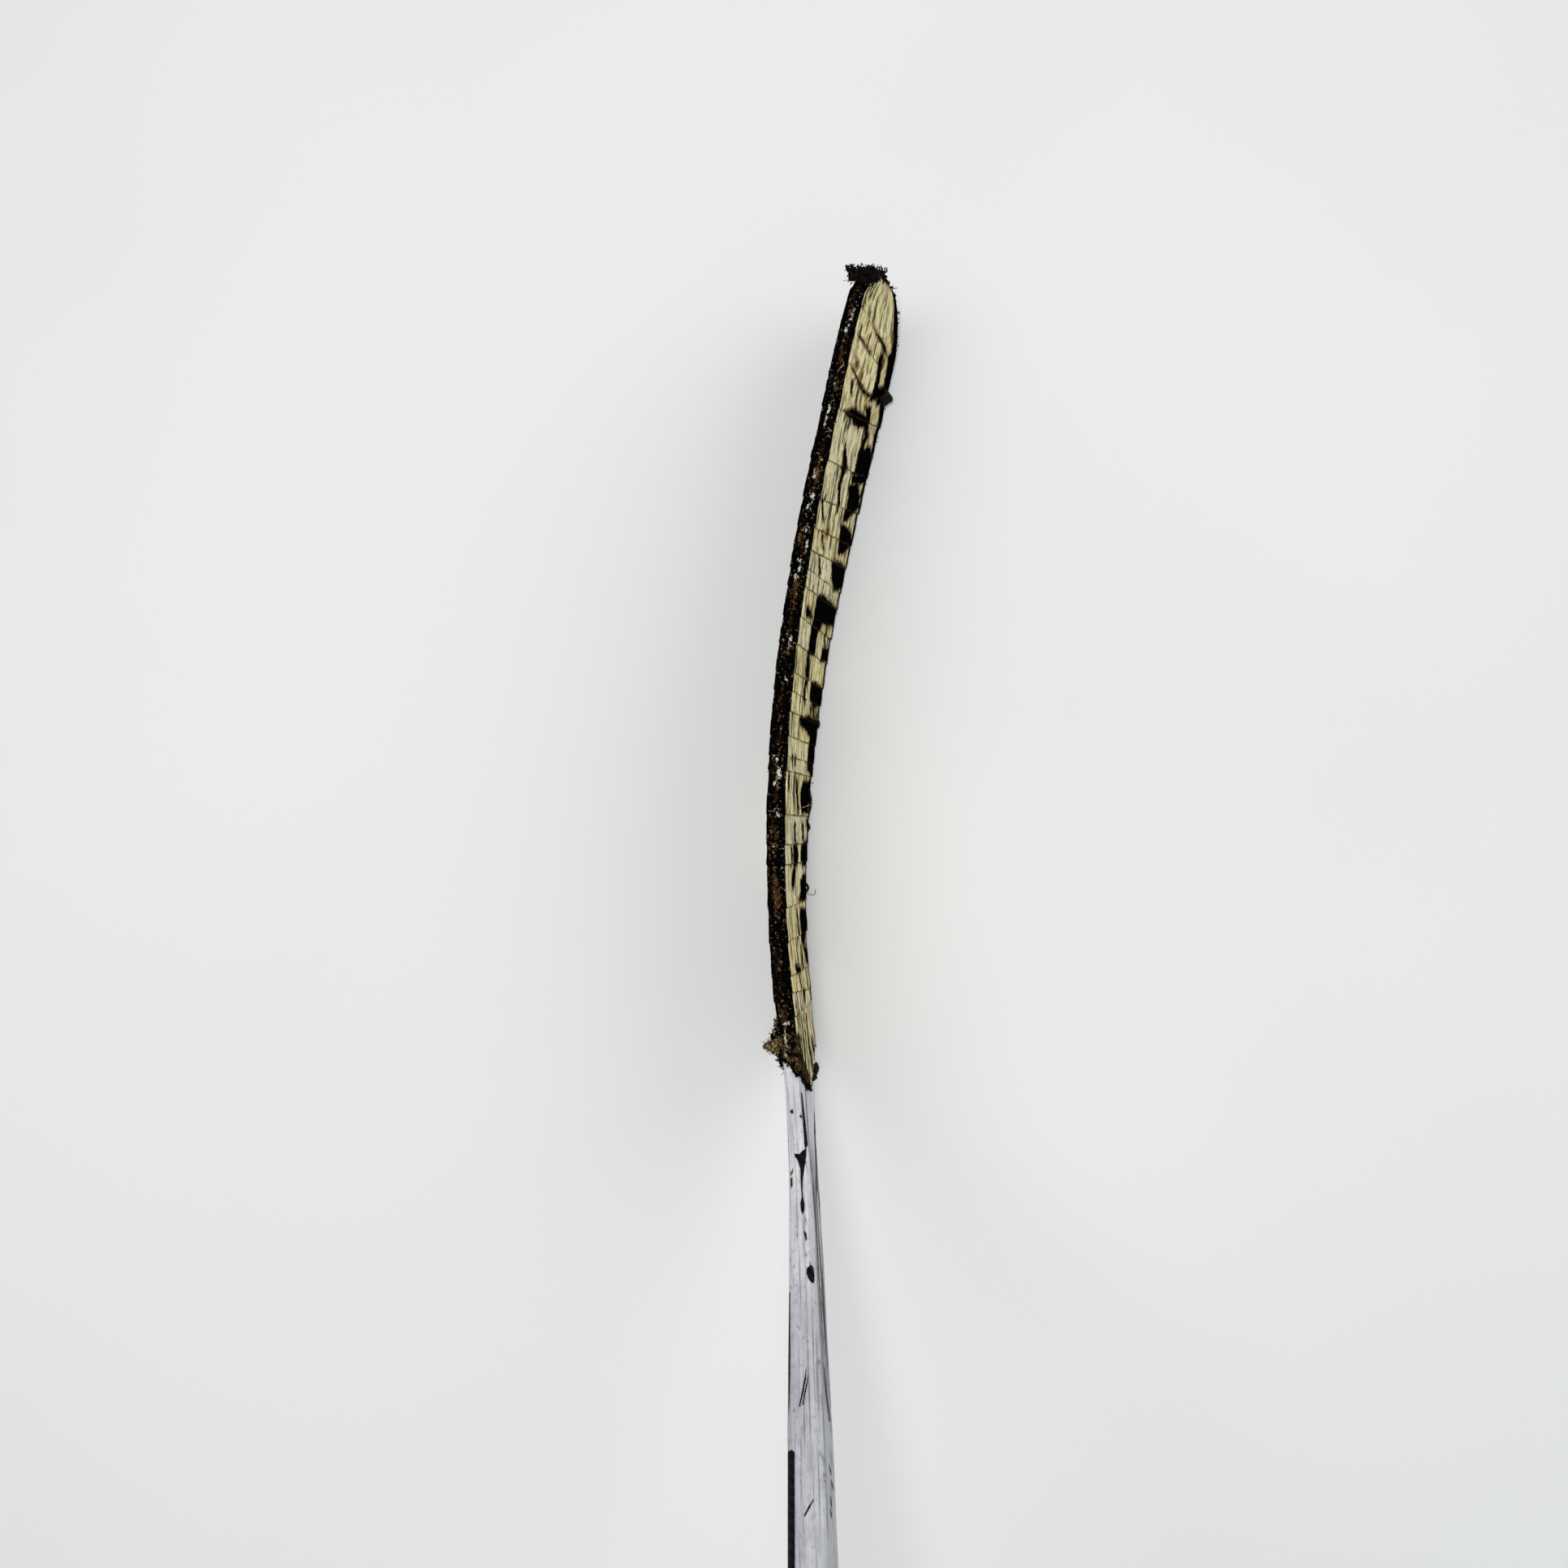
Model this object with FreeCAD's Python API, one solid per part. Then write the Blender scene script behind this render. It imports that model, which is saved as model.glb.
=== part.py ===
import FreeCAD, Part
import math
import os

# Ice hockey stick, left-hand curve, standing in its playing position:
# blade sole on the floor (Z = 0), toe towards +X, shaft rising towards -X,
# concave forehand face towards -Y. All sizes in millimetres and degrees.

# ---- blade ----
BLADE_LENGTH = 314.0          # along the curved sole, heel corner to toe tip
HEEL_STRAIGHT = 14.0          # straight part next to the heel block
CURVE_HEADINGS = (            # distance from the heel, direction of the blade
    (0.0, 0.0), (14.0, 0.0), (30.0, 2.4), (50.0, 4.8), (100.0, 9.7), (150.0, 14.1),
    (200.0, 17.3), (250.0, 18.7), (298.0, 17.8), (314.0, 17.5))
TOE_LOFT = 16.0               # how far the face is opened at the toe
LOFT_HEIGHT = 32.0            # height of the line the face turns about
THICK_HEEL = 6.0
THICK_MID = 5.3
THICK_TOE = 4.8
SKIN = 0.9                    # carbon skin on each face
EDGE_BAND_WIDTH = 3.0         # solid laminate round the rim
RIB_WIDTH = 3.2               # bridge between the two foam cores
RIB_HEIGHT = 33.0

# Side profile of blade and heel: (X, Z) points of the top edge from the
# toe back to the shaft, and of the toe from the sole round to the top edge.
TOP_EDGE = ((293.5, 50.9), (274.0, 55.2), (250.0, 58.0), (212.0, 62.0),
            (165.0, 66.5), (115.0, 70.2), (60.0, 72.6), (20.0, 74.4), (-8.0, 76.8),
            (-28.0, 81.2), (-45.0, 89.4))
TOE_ROUND = ((240.0, 0.0), (267.0, 0.8), (285.5, 4.2), (298.0, 12.5),
             (304.3, 26.0), (303.0, 42.0), (293.5, 50.9))
HEEL_CORNER = 16.0            # size of the rounded corner at the heel

# ---- shaft ----
LIE = 45.0                    # angle of the shaft above the floor
SHAFT_DEPTH = 29.0            # wide side of the shaft
SHAFT_CORNER = 5.0
WALL = 1.9
NECK_START = 112.0            # where the hollow tube begins, from the heel
SHAFT_END = 1452.0            # butt end of the tube
NECK_WIDTHS = (               # distance from the heel, narrow side, corner
    (112.0, 9.4, 3.0), (141.0, 10.3, 3.2), (170.0, 11.7, 3.6), (186.0, 12.4, 3.8),
    (232.0, 13.4, 4.2), (320.0, 15.8, 4.6), (420.0, 19.0, 5.0))
HEEL_WIDTHS = ((-40.0, 6.0), (58.0, 6.0), (82.0, 7.6), (112.0, 9.4))
TANG_LENGTH = 62.0

# ---- tape ----
TAPE_START = -10.0             # first wrap at the heel, along the blade
TAPE_THIN = 0.45              # one layer
TAPE_THICK = 0.95             # where two wraps lap
WRAP_PITCH = 11.0
TOE_TAPE_START = 264.0
TAB_SIZE = (7.6, 12.6, 7.0)   # lump of doubled tape left on the toe's top corner
TAB_CENTRE = (302.4, -61.2, 47.2)

TAIL_THICK = 0.8              # torn tape end sticking out of the heel's backhand side
TAIL_RUN = (                  # distance from the side, X range, height
    (0.5, -2.6, 4.6, 68.5), (3.0, -1.6, 3.6, 69.6), (6.4, 0.6, 2.4, 71.4))

# ---- butt end ----
PLUG_DEPTH = 32.0
PLUG_FLANGE = 3.0
GRIP_LENGTH = 170.0
GRIP_TAPE = 0.8
KNOB_LENGTH = 17.0
KNOB_BUILD = 4.2
GRIP_BEGIN = SHAFT_END - GRIP_LENGTH

V = FreeCAD.Vector
S45 = math.sin(math.radians(LIE))
C45 = math.cos(math.radians(LIE))
ALONG = V(-C45, 0, S45)       # up the shaft
INNER = V(S45, 0, C45)        # from the shaft's back towards the blade side


def lookup(table, at, column=1):
    """Straight-line value of a column of a table of rows sorted by distance."""
    if at <= table[0][0]:
        return table[0][column]
    for low, high in zip(table, table[1:]):
        if at <= high[0]:
            part = (at - low[0]) / (high[0] - low[0])
            return low[column] + part * (high[column] - low[column])
    return table[-1][column]


def blade_line(distance):
    """Point on the sole's centre line and its heading, in radians."""
    steps = max(1, int(abs(distance) / 2.0))
    step = distance / steps
    x = y = 0.0
    for i in range(steps):
        heading = math.radians(lookup(CURVE_HEADINGS, (i + 0.5) * step))
        x += step * math.cos(heading)
        y -= step * math.sin(heading)
    return V(x, y, 0), math.radians(lookup(CURVE_HEADINGS, distance))


def blade_point(distance, height, offset):
    """Point of the blade at a height, offset from its middle to the backhand."""
    base, heading = blade_line(distance)
    loft = math.radians(TOE_LOFT) * (max(distance, 0) / BLADE_LENGTH) ** 1.5
    side = V(math.sin(heading), math.cos(heading), 0)
    up = V(0, 0, math.cos(loft)) + side * math.sin(loft)
    out = side * math.cos(loft) - V(0, 0, math.sin(loft))
    middle = base + V(0, 0, LOFT_HEIGHT)
    return middle + up * (height - LOFT_HEIGHT) + out * offset


def thickness(distance):
    table = ((HEEL_STRAIGHT, THICK_HEEL), (150.0, THICK_MID), (BLADE_LENGTH, THICK_TOE))
    return lookup(table, distance)


def blade_slab(stations, extra, ruled=False, low=-14.0, high=112.0):
    """Curved slab as thick as the blade plus an extra at each station."""
    wires = []
    for distance in stations:
        more = extra(distance) if callable(extra) else extra
        half = thickness(distance) / 2 + more
        corners = [blade_point(distance, low, -half), blade_point(distance, high, -half),
                   blade_point(distance, high, half), blade_point(distance, low, half)]
        wires.append(Part.makePolygon(corners + corners[:1]))
    return Part.makeLoft(wires, True, ruled)


def span(start, stop, count):
    return [start + (stop - start) * i / (count - 1) for i in range(count)]


def shaft_point(distance, inward, side=0.0):
    """Point at a distance up the shaft and inward from its back face."""
    return ALONG * distance + INNER * inward + V(0, side, 0)


def sampled(points, count):
    """Evenly spaced points on a smooth curve through the given ones."""
    curve = Part.BSplineCurve()
    curve.interpolate([V(x, 0, z) for x, z in points])
    return curve.discretize(count)


def outline_runs():
    """Side profile of blade and heel up to the neck, as runs of points."""
    inner_end = shaft_point(NECK_START, SHAFT_DEPTH)
    outer_end = shaft_point(NECK_START, 0)
    back_low = shaft_point(HEEL_CORNER, 0)
    sole_start = V(HEEL_CORNER * 0.62, 0, 0)
    corner = Part.Arc(back_low, V(HEEL_CORNER * -0.13, 0, HEEL_CORNER * 0.31), sole_start)
    top = TOP_EDGE + ((inner_end.x, inner_end.z),)
    return [[outer_end, back_low], corner.toShape().discretize(7),
            [sole_start, V(TOE_ROUND[0][0], 0, TOE_ROUND[0][1])],
            sampled(TOE_ROUND, 15), sampled(top, 21), [inner_end, outer_end]]


def outline_wire(grow=0.0):
    """The side profile as a closed wire, grown outwards by a distance."""
    runs = outline_runs()
    loop = [point for run in runs for point in run[:-1]]
    count = len(loop)
    moved = []
    for i, point in enumerate(loop):
        before = (point - loop[i - 1]).normalize()
        after = (loop[(i + 1) % count] - point).normalize()
        out = V(before.z + after.z, 0, -before.x - after.x)
        out.normalize()
        side = V(after.z, 0, -after.x)
        moved.append(point + out * (grow / max(out.dot(side), 0.5)))
    edges = []
    first = 0
    for run in runs:
        last = first + len(run) - 1
        points = [moved[i % count] for i in range(first, last + 1)]
        if len(points) == 2:
            edges.append(Part.makeLine(points[0], points[1]))
        else:
            curve = Part.BSplineCurve()
            curve.interpolate(points)
            edges.append(curve.toShape())
        first = last
    return Part.Wire(edges)


def prism(wire, reach=90.0):
    """Solid from a profile in the XZ plane, through both sides."""
    face = Part.Face(wire)
    face.translate(V(0, -reach - 60, 0))
    return face.extrude(V(0, 2 * reach + 60, 0))


def box_between(x0, x1, z0=-30.0, z1=150.0):
    return Part.makeBox(x1 - x0, 260, z1 - z0, V(x0, -160, z0))


def rounded_section(distance, width, depth, corner):
    """Rounded rectangle across the shaft, centred on the shaft's middle."""
    half_w, half_d = width / 2, depth / 2
    centre = shaft_point(distance, SHAFT_DEPTH / 2)

    def at(inward, side):
        return centre + INNER * inward + V(0, side, 0)

    k = corner * (1 - math.sqrt(0.5))
    edges = []
    quarter = ((1, 1), (-1, 1), (-1, -1), (1, -1))
    for i, (sign_d, sign_w) in enumerate(quarter):
        end_d = at(sign_d * (half_d - corner), sign_w * half_w)
        end_w = at(sign_d * half_d, sign_w * (half_w - corner))
        middle = at(sign_d * (half_d - k), sign_w * (half_w - k))
        first, last = (end_w, end_d) if i % 2 == 0 else (end_d, end_w)
        edges.append(Part.Arc(first, middle, last).toShape())
        next_d, next_w = quarter[(i + 1) % 4]
        if i % 2 == 0:
            start = at(next_d * (half_d - corner), next_w * half_w)
        else:
            start = at(next_d * half_d, next_w * (half_w - corner))
        edges.append(Part.makeLine(last, start))
    return Part.Wire(edges)


def shaft_body(inset, begin, end):
    """Tapered neck and straight shaft, inset from the outside by a wall."""
    def section(distance):
        width = lookup(NECK_WIDTHS, distance, 1) - 2 * inset
        corner = max(lookup(NECK_WIDTHS, distance, 2) - inset, 0.8)
        return rounded_section(distance, width, SHAFT_DEPTH - 2 * inset, corner)

    taper_end = NECK_WIDTHS[-1][0]
    stations = [begin] + [row[0] for row in NECK_WIDTHS if begin < row[0] < end]
    solids = []
    if begin < taper_end:
        stops = stations if end > taper_end else stations + [end]
        solids.append(Part.makeLoft([section(s) for s in stops], True, True))
    stops = [s for s in (max(begin, taper_end), GRIP_BEGIN) if begin <= s < end] + [end]
    for start, stop in zip(stops, stops[1:]):
        face = Part.Face(section(start))
        solids.append(face.extrude(ALONG * (stop - start)))
    body = solids[0]
    for more in solids[1:]:
        body = body.fuse(more)
    return body


def sleeve(begin, end, build):
    """Closed band wound round the straight part of the shaft."""
    def ring(extra):
        section = rounded_section(begin, NECK_WIDTHS[-1][1] + 2 * extra,
                                  SHAFT_DEPTH + 2 * extra, SHAFT_CORNER + extra)
        return Part.Face(section).extrude(ALONG * (end - begin))
    return ring(build).cut(ring(0))


def largest(shape):
    return max(shape.Solids, key=lambda s: s.Volume)


def sawtooth(distance):
    """Tape build-up: a step up at each wrap's edge, thinning towards the toe."""
    place = (distance - TAPE_START) / WRAP_PITCH
    part = place - math.floor(place + 1e-6)
    return TAPE_THICK - (TAPE_THICK - TAPE_THIN) * part


def wrap_stations(start, stop):
    stations = [start]
    count = int((stop - start) / WRAP_PITCH) + 1
    for i in range(1, count + 1):
        edge = start + i * WRAP_PITCH
        if edge >= stop:
            break
        stations += [edge - 0.7, edge]
    return stations + [stop]


# ---- blade ----
profile = prism(outline_wire())
blade_zone = box_between(HEEL_STRAIGHT, 340.0)
stations = [2.0] + span(HEEL_STRAIGHT, BLADE_LENGTH + 20, 17)
full_slab = blade_slab(stations, 0.0)
blade_solid = full_slab.common(profile).common(blade_zone)

inner_slab = blade_slab(stations, -SKIN)
skins = blade_solid.cut(inner_slab).Solids
skins.sort(key=lambda s: s.CenterOfMass.y)
forehand_skin, backhand_skin = skins[0], skins[-1]

middle = blade_solid.common(inner_slab)
core_zone = prism(outline_wire(-EDGE_BAND_WIDTH))
core = middle.common(core_zone)
edge_band = largest(middle.cut(core_zone))

rib_low = RIB_HEIGHT - RIB_WIDTH / 2
rib_high = RIB_HEIGHT + RIB_WIDTH / 2
core_rib = largest(core.common(box_between(0, 340, rib_low, rib_high)))
lower_core = largest(core.common(box_between(0, 340, -10, rib_low)))
upper_core = largest(core.common(box_between(0, 340, rib_high, 120)))

# ---- heel block: blade thickness below, neck width above ----
heel_wires = []
for distance, width in HEEL_WIDTHS:
    corners = [shaft_point(distance, -30, -width / 2), shaft_point(distance, 110, -width / 2),
               shaft_point(distance, 110, width / 2), shaft_point(distance, -30, width / 2)]
    heel_wires.append(Part.makePolygon(corners + corners[:1]))
heel_slab = Part.makeLoft(heel_wires, True, True)
heel_zone = profile.common(box_between(-200, HEEL_STRAIGHT))
heel_block = largest(heel_slab.common(heel_zone))

# ---- shaft ----
bore = shaft_body(WALL, NECK_START, SHAFT_END)
shaft_tube = shaft_body(0, NECK_START, SHAFT_END).cut(bore)
blade_tang = shaft_body(WALL, NECK_START, NECK_START + TANG_LENGTH)

plug_flange = Part.Face(rounded_section(SHAFT_END, NECK_WIDTHS[-1][1], SHAFT_DEPTH,
                                        SHAFT_CORNER)).extrude(ALONG * PLUG_FLANGE)
plug_body = shaft_body(WALL, SHAFT_END - PLUG_DEPTH, SHAFT_END)
butt_plug = plug_flange.fuse(plug_body).removeSplitter()

knob_end = SHAFT_END + PLUG_FLANGE
grip_tape = sleeve(GRIP_BEGIN, knob_end - KNOB_LENGTH, GRIP_TAPE)
knob_tape = sleeve(knob_end - KNOB_LENGTH, knob_end, KNOB_BUILD)
knob_rims = [e for e in knob_tape.Edges
             if abs((e.CenterOfMass.dot(ALONG)) - knob_end) < 0.1
             or abs((e.CenterOfMass.dot(ALONG)) - knob_end + KNOB_LENGTH) < 0.1]
knob_outer = [e for e in knob_rims
              if min((v.Point - shaft_point(v.Point.dot(ALONG), SHAFT_DEPTH / 2)).Length
                     for v in e.Vertexes) > 16.0]
if knob_outer:
    knob_tape = knob_tape.makeFillet(1.4, knob_outer)

# ---- blade tape: overlapping wraps from the heel to the toe ----
tape_profile = prism(outline_wire(TAPE_THICK))
tape_slab = blade_slab(wrap_stations(TAPE_START, BLADE_LENGTH + 24), sawtooth, ruled=True)
tape_body = tape_slab.common(tape_profile)
tape_body = tape_body.cut(blade_solid).cut(heel_block)
toe_cut = box_between(TOE_TAPE_START, 340)
blade_tape = largest(tape_body.cut(toe_cut))
toe_tape = largest(tape_body.common(toe_cut))

# ---- loose bits of tape ----
tab_long, tab_wide, tab_high = TAB_SIZE
tab = Part.makeBox(tab_long, tab_wide, tab_high,
                   V(-tab_long / 2, -tab_wide / 2, -tab_high / 2))
tab = tab.makeFillet(1.6, tab.Edges)
tab.rotate(V(0, 0, 0), V(0, 0, 1), -8)
tab.translate(V(*TAB_CENTRE))
toe_tape_tab = largest(tab.cut(toe_tape).cut(blade_solid))

tail_side = lookup(HEEL_WIDTHS, 50) / 2
tail_wires = []
for away, low_x, high_x, height in TAIL_RUN:
    y = tail_side + away
    top = height + TAIL_THICK
    tail_wires.append(Part.makePolygon([V(low_x, y, height), V(high_x, y, height),
                                        V(high_x, y, top), V(low_x, y, top),
                                        V(low_x, y, height)]))
heel_tape_tail = largest(Part.makeLoft(tail_wires, True, True).cut(blade_tape))

parts = {
    "shaft_tube": shaft_tube, "blade_tang": blade_tang, "heel_block": heel_block,
    "forehand_skin": forehand_skin, "backhand_skin": backhand_skin,
    "upper_core": upper_core, "lower_core": lower_core, "core_rib": core_rib,
    "edge_band": edge_band, "blade_tape": blade_tape, "toe_tape": toe_tape,
    "toe_tape_tab": toe_tape_tab, "heel_tape_tail": heel_tape_tail,
    "butt_plug": butt_plug, "grip_tape": grip_tape, "knob_tape": knob_tape,
}

# Origin at the bottom centre of the whole stick.
box = Part.Compound(list(parts.values())).optimalBoundingBox(False, False)
shift = V(-(box.XMin + box.XMax) / 2, -(box.YMin + box.YMax) / 2, -box.ZMin)

os.makedirs("parts", exist_ok=True)
for name, shape in parts.items():
    solid = shape.Solids[0] if len(shape.Solids) == 1 else shape
    solid = solid.copy()
    solid.translate(shift)
    solid.exportStep("parts/" + name + ".step")
    print(name, "solids", len(shape.Solids), "valid", shape.isValid(), "cm3 %.2f" % (shape.Volume / 1000))
print("heel corner moved by", [round(c, 3) for c in shift], "box", [round(c, 1) for c in
      (box.XLength, box.YLength, box.ZLength)])
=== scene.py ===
"""Used ice hockey stick: taped curved blade, painted tapered shaft, taped butt end.

Lengths in the tables are millimetres in the heel frame: the corner of the
blade's heel is the origin, the toe lies towards +X, the forehand face looks
towards -Y and the floor is Z = 0. place_mm() turns them into scene metres.
"""
import math

import bpy
import numpy as np
from mathutils import Matrix, Vector


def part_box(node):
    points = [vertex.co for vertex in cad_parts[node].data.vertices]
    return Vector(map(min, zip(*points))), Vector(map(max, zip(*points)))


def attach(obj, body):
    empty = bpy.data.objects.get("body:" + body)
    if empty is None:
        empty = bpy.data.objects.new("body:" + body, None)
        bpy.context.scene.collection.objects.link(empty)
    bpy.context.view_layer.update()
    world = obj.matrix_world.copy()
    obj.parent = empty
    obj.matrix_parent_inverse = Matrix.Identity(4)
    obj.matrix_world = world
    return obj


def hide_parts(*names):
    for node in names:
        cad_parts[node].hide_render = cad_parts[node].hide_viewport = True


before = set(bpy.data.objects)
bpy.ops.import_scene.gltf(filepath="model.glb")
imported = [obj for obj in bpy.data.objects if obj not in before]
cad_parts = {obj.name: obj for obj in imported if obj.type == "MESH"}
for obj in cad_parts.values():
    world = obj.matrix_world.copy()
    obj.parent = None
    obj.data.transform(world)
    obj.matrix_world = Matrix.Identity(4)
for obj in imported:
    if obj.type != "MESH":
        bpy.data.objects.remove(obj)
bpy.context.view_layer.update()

MM = 0.001
rng = np.random.default_rng(20)        # draws every loose thread, in order

# ---- where the heel corner is, from the CAD nodes ----
BAND_START = 14.0                      # the rim band begins this far from the heel
band_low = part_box("edge_band")[0]
heel_low, heel_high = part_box("heel_block")
HEEL = np.array([band_low[0] / MM - BAND_START,
                 (heel_low[1] + heel_high[1]) / 2 / MM, heel_low[2] / MM])

# ---- blade shape, the same numbers as the CAD model ----
BLADE_LENGTH = 314.0
CURVE_HEADINGS = ((0.0, 0.0), (14.0, 0.0), (30.0, 2.4), (50.0, 4.8), (100.0, 9.7),
                  (150.0, 14.1), (200.0, 17.3), (250.0, 18.7), (298.0, 17.8), (314.0, 17.5))
TOE_LOFT = 16.0
LOFT_HEIGHT = 32.0
THICKNESS = ((14.0, 6.0), (150.0, 5.3), (314.0, 4.8))
TOP_EDGE = ((293.5, 50.9), (274.0, 55.2), (250.0, 58.0), (212.0, 62.0),
            (165.0, 66.5), (115.0, 70.2), (60.0, 72.6), (20.0, 74.4), (-8.0, 76.8),
            (-28.0, 81.2), (-45.0, 89.4), (-58.7, 99.7))
TOE_ROUND = ((240.0, 0.0), (267.0, 0.8), (285.5, 4.2), (298.0, 12.5),
             (304.3, 26.0), (303.0, 42.0), (293.5, 50.9))
HEEL_ARC = ((-11.3, 11.3), (-8.9, 8.9), (-5.6, 6.6), (-2.1, 5.0), (1.8, 3.0), (5.6, 1.2),
            (9.9, 0.0))
NECK_OUTER = (-79.2, 79.2)
SHAFT_DEPTH = 29.0
SHAFT_END = 1452.0
PLUG_FLANGE = 3.0
NECK_WIDTHS = ((-40.0, 6.0, 1.6), (58.0, 6.0, 1.8), (82.0, 7.6, 2.4), (112.0, 9.4, 3.0),
               (141.0, 10.3, 3.2), (170.0, 11.7, 3.6), (186.0, 12.4, 3.8),
               (232.0, 13.4, 4.2), (320.0, 15.8, 4.6), (420.0, 19.0, 5.0))
HALF_ROOT = math.sqrt(0.5)
ALONG = np.array([-HALF_ROOT, 0.0, HALF_ROOT])
INNER = np.array([HALF_ROOT, 0.0, HALF_ROOT])


def column(table, index):
    return np.array([row[index] for row in table], float)


def look_up(table, at, index=1):
    """One column of a table, interpolated over its first column."""
    return np.interp(at, column(table, 0), column(table, index))


LINE_U = np.arange(-90.0, 360.0, 0.5)
LINE_HEADING = np.radians(look_up(CURVE_HEADINGS, LINE_U))
LINE_X = np.cumsum(np.cos(LINE_HEADING)) * 0.5
LINE_Y = -np.cumsum(np.sin(LINE_HEADING)) * 0.5
LINE_X -= np.interp(0.0, LINE_U, LINE_X)
LINE_Y -= np.interp(0.0, LINE_U, LINE_Y)


def blade_axes(u):
    """Sole line point, up direction and backhand direction at distances u."""
    u = np.asarray(u, float)
    heading = np.interp(u, LINE_U, LINE_HEADING)
    loft = math.radians(TOE_LOFT) * (np.maximum(u, 0.0) / BLADE_LENGTH) ** 1.5
    side = np.stack([np.sin(heading), np.cos(heading), np.zeros_like(u)], -1)
    rise = np.array([0.0, 0.0, 1.0])
    up = rise * np.cos(loft)[..., None] + side * np.sin(loft)[..., None]
    out = side * np.cos(loft)[..., None] - rise * np.sin(loft)[..., None]
    base = np.stack([np.interp(u, LINE_U, LINE_X), np.interp(u, LINE_U, LINE_Y),
                     np.full_like(u, LOFT_HEIGHT)], -1)
    return base, up, out


def blade_point(u, height, offset):
    base, up, out = blade_axes(u)
    lift = (np.asarray(height, float) - LOFT_HEIGHT)[..., None]
    return base + up * lift + out * np.asarray(offset, float)[..., None]


def half_thickness(u):
    return look_up(THICKNESS, u) / 2


def shaft_width(s):
    return look_up(NECK_WIDTHS, s)


def shaft_corner(s):
    return look_up(NECK_WIDTHS, s, 2)


def unit(rows):
    return rows / np.linalg.norm(rows, axis=-1, keepdims=True)


def run_length(points):
    """Distance from the first point to each point of a line."""
    return np.concatenate([[0.0], np.cumsum(np.linalg.norm(np.diff(points, axis=0), axis=1))])


def smooth_line(points, count):
    """Evenly spaced points on a smooth curve through 2D points."""
    p = np.array(points, float)
    t = run_length(p)
    slope = np.gradient(p, t, axis=0)
    at = np.linspace(0.0, t[-1], count)
    k = np.clip(np.searchsorted(t, at, side="right") - 1, 0, len(t) - 2)
    step = (t[k + 1] - t[k])[:, None]
    x = ((at - t[k]) / (t[k + 1] - t[k]))[:, None]
    return ((2 * x**3 - 3 * x**2 + 1) * p[k] + (x**3 - 2 * x**2 + x) * step * slope[k]
            + (3 * x**2 - 2 * x**3) * p[k + 1] + (x**3 - x**2) * step * slope[k + 1])


def fade(x, low, high):
    """Smooth 0 to 1 as x goes from low to high."""
    t = np.clip((np.asarray(x, float) - low) / (high - low), 0.0, 1.0)
    return t * t * (3 - 2 * t)


def patchy(x, y, seed):
    """Smooth seeded noise from 0 to 1 over a plane, one cell per unit."""
    size = 64
    grid = np.random.default_rng(seed).random((size, size))
    xi, yi = np.floor(x).astype(int), np.floor(y).astype(int)
    fx, fy = fade(x - xi, 0, 1), fade(y - yi, 0, 1)
    a, b = grid[xi % size, yi % size], grid[(xi + 1) % size, yi % size]
    c, d = grid[xi % size, (yi + 1) % size], grid[(xi + 1) % size, (yi + 1) % size]
    return (a * (1 - fx) + b * fx) * (1 - fy) + (c * (1 - fx) + d * fx) * fy


def place_mm(points):
    """Heel-frame millimetres to scene metres."""
    return (np.asarray(points, float) + HEEL) * MM


# ---- mesh helpers ----
def add_object(name, data):
    piece = bpy.data.objects.new(name, data)
    bpy.context.scene.collection.objects.link(piece)
    return piece


def finish_piece(mesh, material):
    """Smooth mesh as a piece that rides the root."""
    piece = add_object(mesh.name, mesh)
    mesh.materials.append(material)
    mesh.polygons.foreach_set("use_smooth", [True] * len(mesh.polygons))
    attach(piece, "root")
    return piece


def add_layer(mesh, key, values):
    """Vertex attribute from flat rows of one or three numbers."""
    vector = values.ndim == 2
    layer = mesh.attributes.new(key, "FLOAT_VECTOR" if vector else "FLOAT", "POINT")
    layer.data.foreach_set("vector" if vector else "value",
                           np.ascontiguousarray(values, np.float32).ravel())


def ring_mesh(name, rings, attributes):
    """Closed tube through rings of points (count, around, 3), in heel-frame mm."""
    count, around = rings.shape[:2]
    i, j = np.meshgrid(np.arange(count - 1), np.arange(around), indexing="ij")
    here, there = i * around + j, i * around + (j + 1) % around
    faces = np.stack([here, there, there + around, here + around], -1).reshape(-1, 4).tolist()
    first, last = count * around, (count - 1) * around
    faces += [[(k + 1) % around, k, first] for k in range(around)]
    faces += [[last + k, last + (k + 1) % around, first + 1] for k in range(around)]
    points = np.concatenate([rings.reshape(-1, 3), [rings[0].mean(0), rings[-1].mean(0)]])
    mesh = bpy.data.meshes.new(name)
    mesh.from_pydata(place_mm(points).tolist(), [], faces)
    for key, value in attributes.items():
        value = np.asarray(value, float)
        flat = value.reshape((count * around,) + value.shape[2:])
        add_layer(mesh, key, np.concatenate([flat, value[[0, -1]].mean(1)]))
    mesh.update()
    return mesh


# ---- tape wrap layout ----
TAPE_START = -13.0                     # mean start of the first wrap
TAPE_MEAN = 0.62                       # usual build-up over the blade
TOE_EXTRA = 0.7                        # the doubled tape round the toe
TOE_EXTRA_RUN = (256.0, 286.0)         # where the doubling comes in, along X
LAP_STEP = 0.42                        # how much an overlapping edge stands up
LAP_FALL = 9.0                         # distance over which the step thins out
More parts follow.
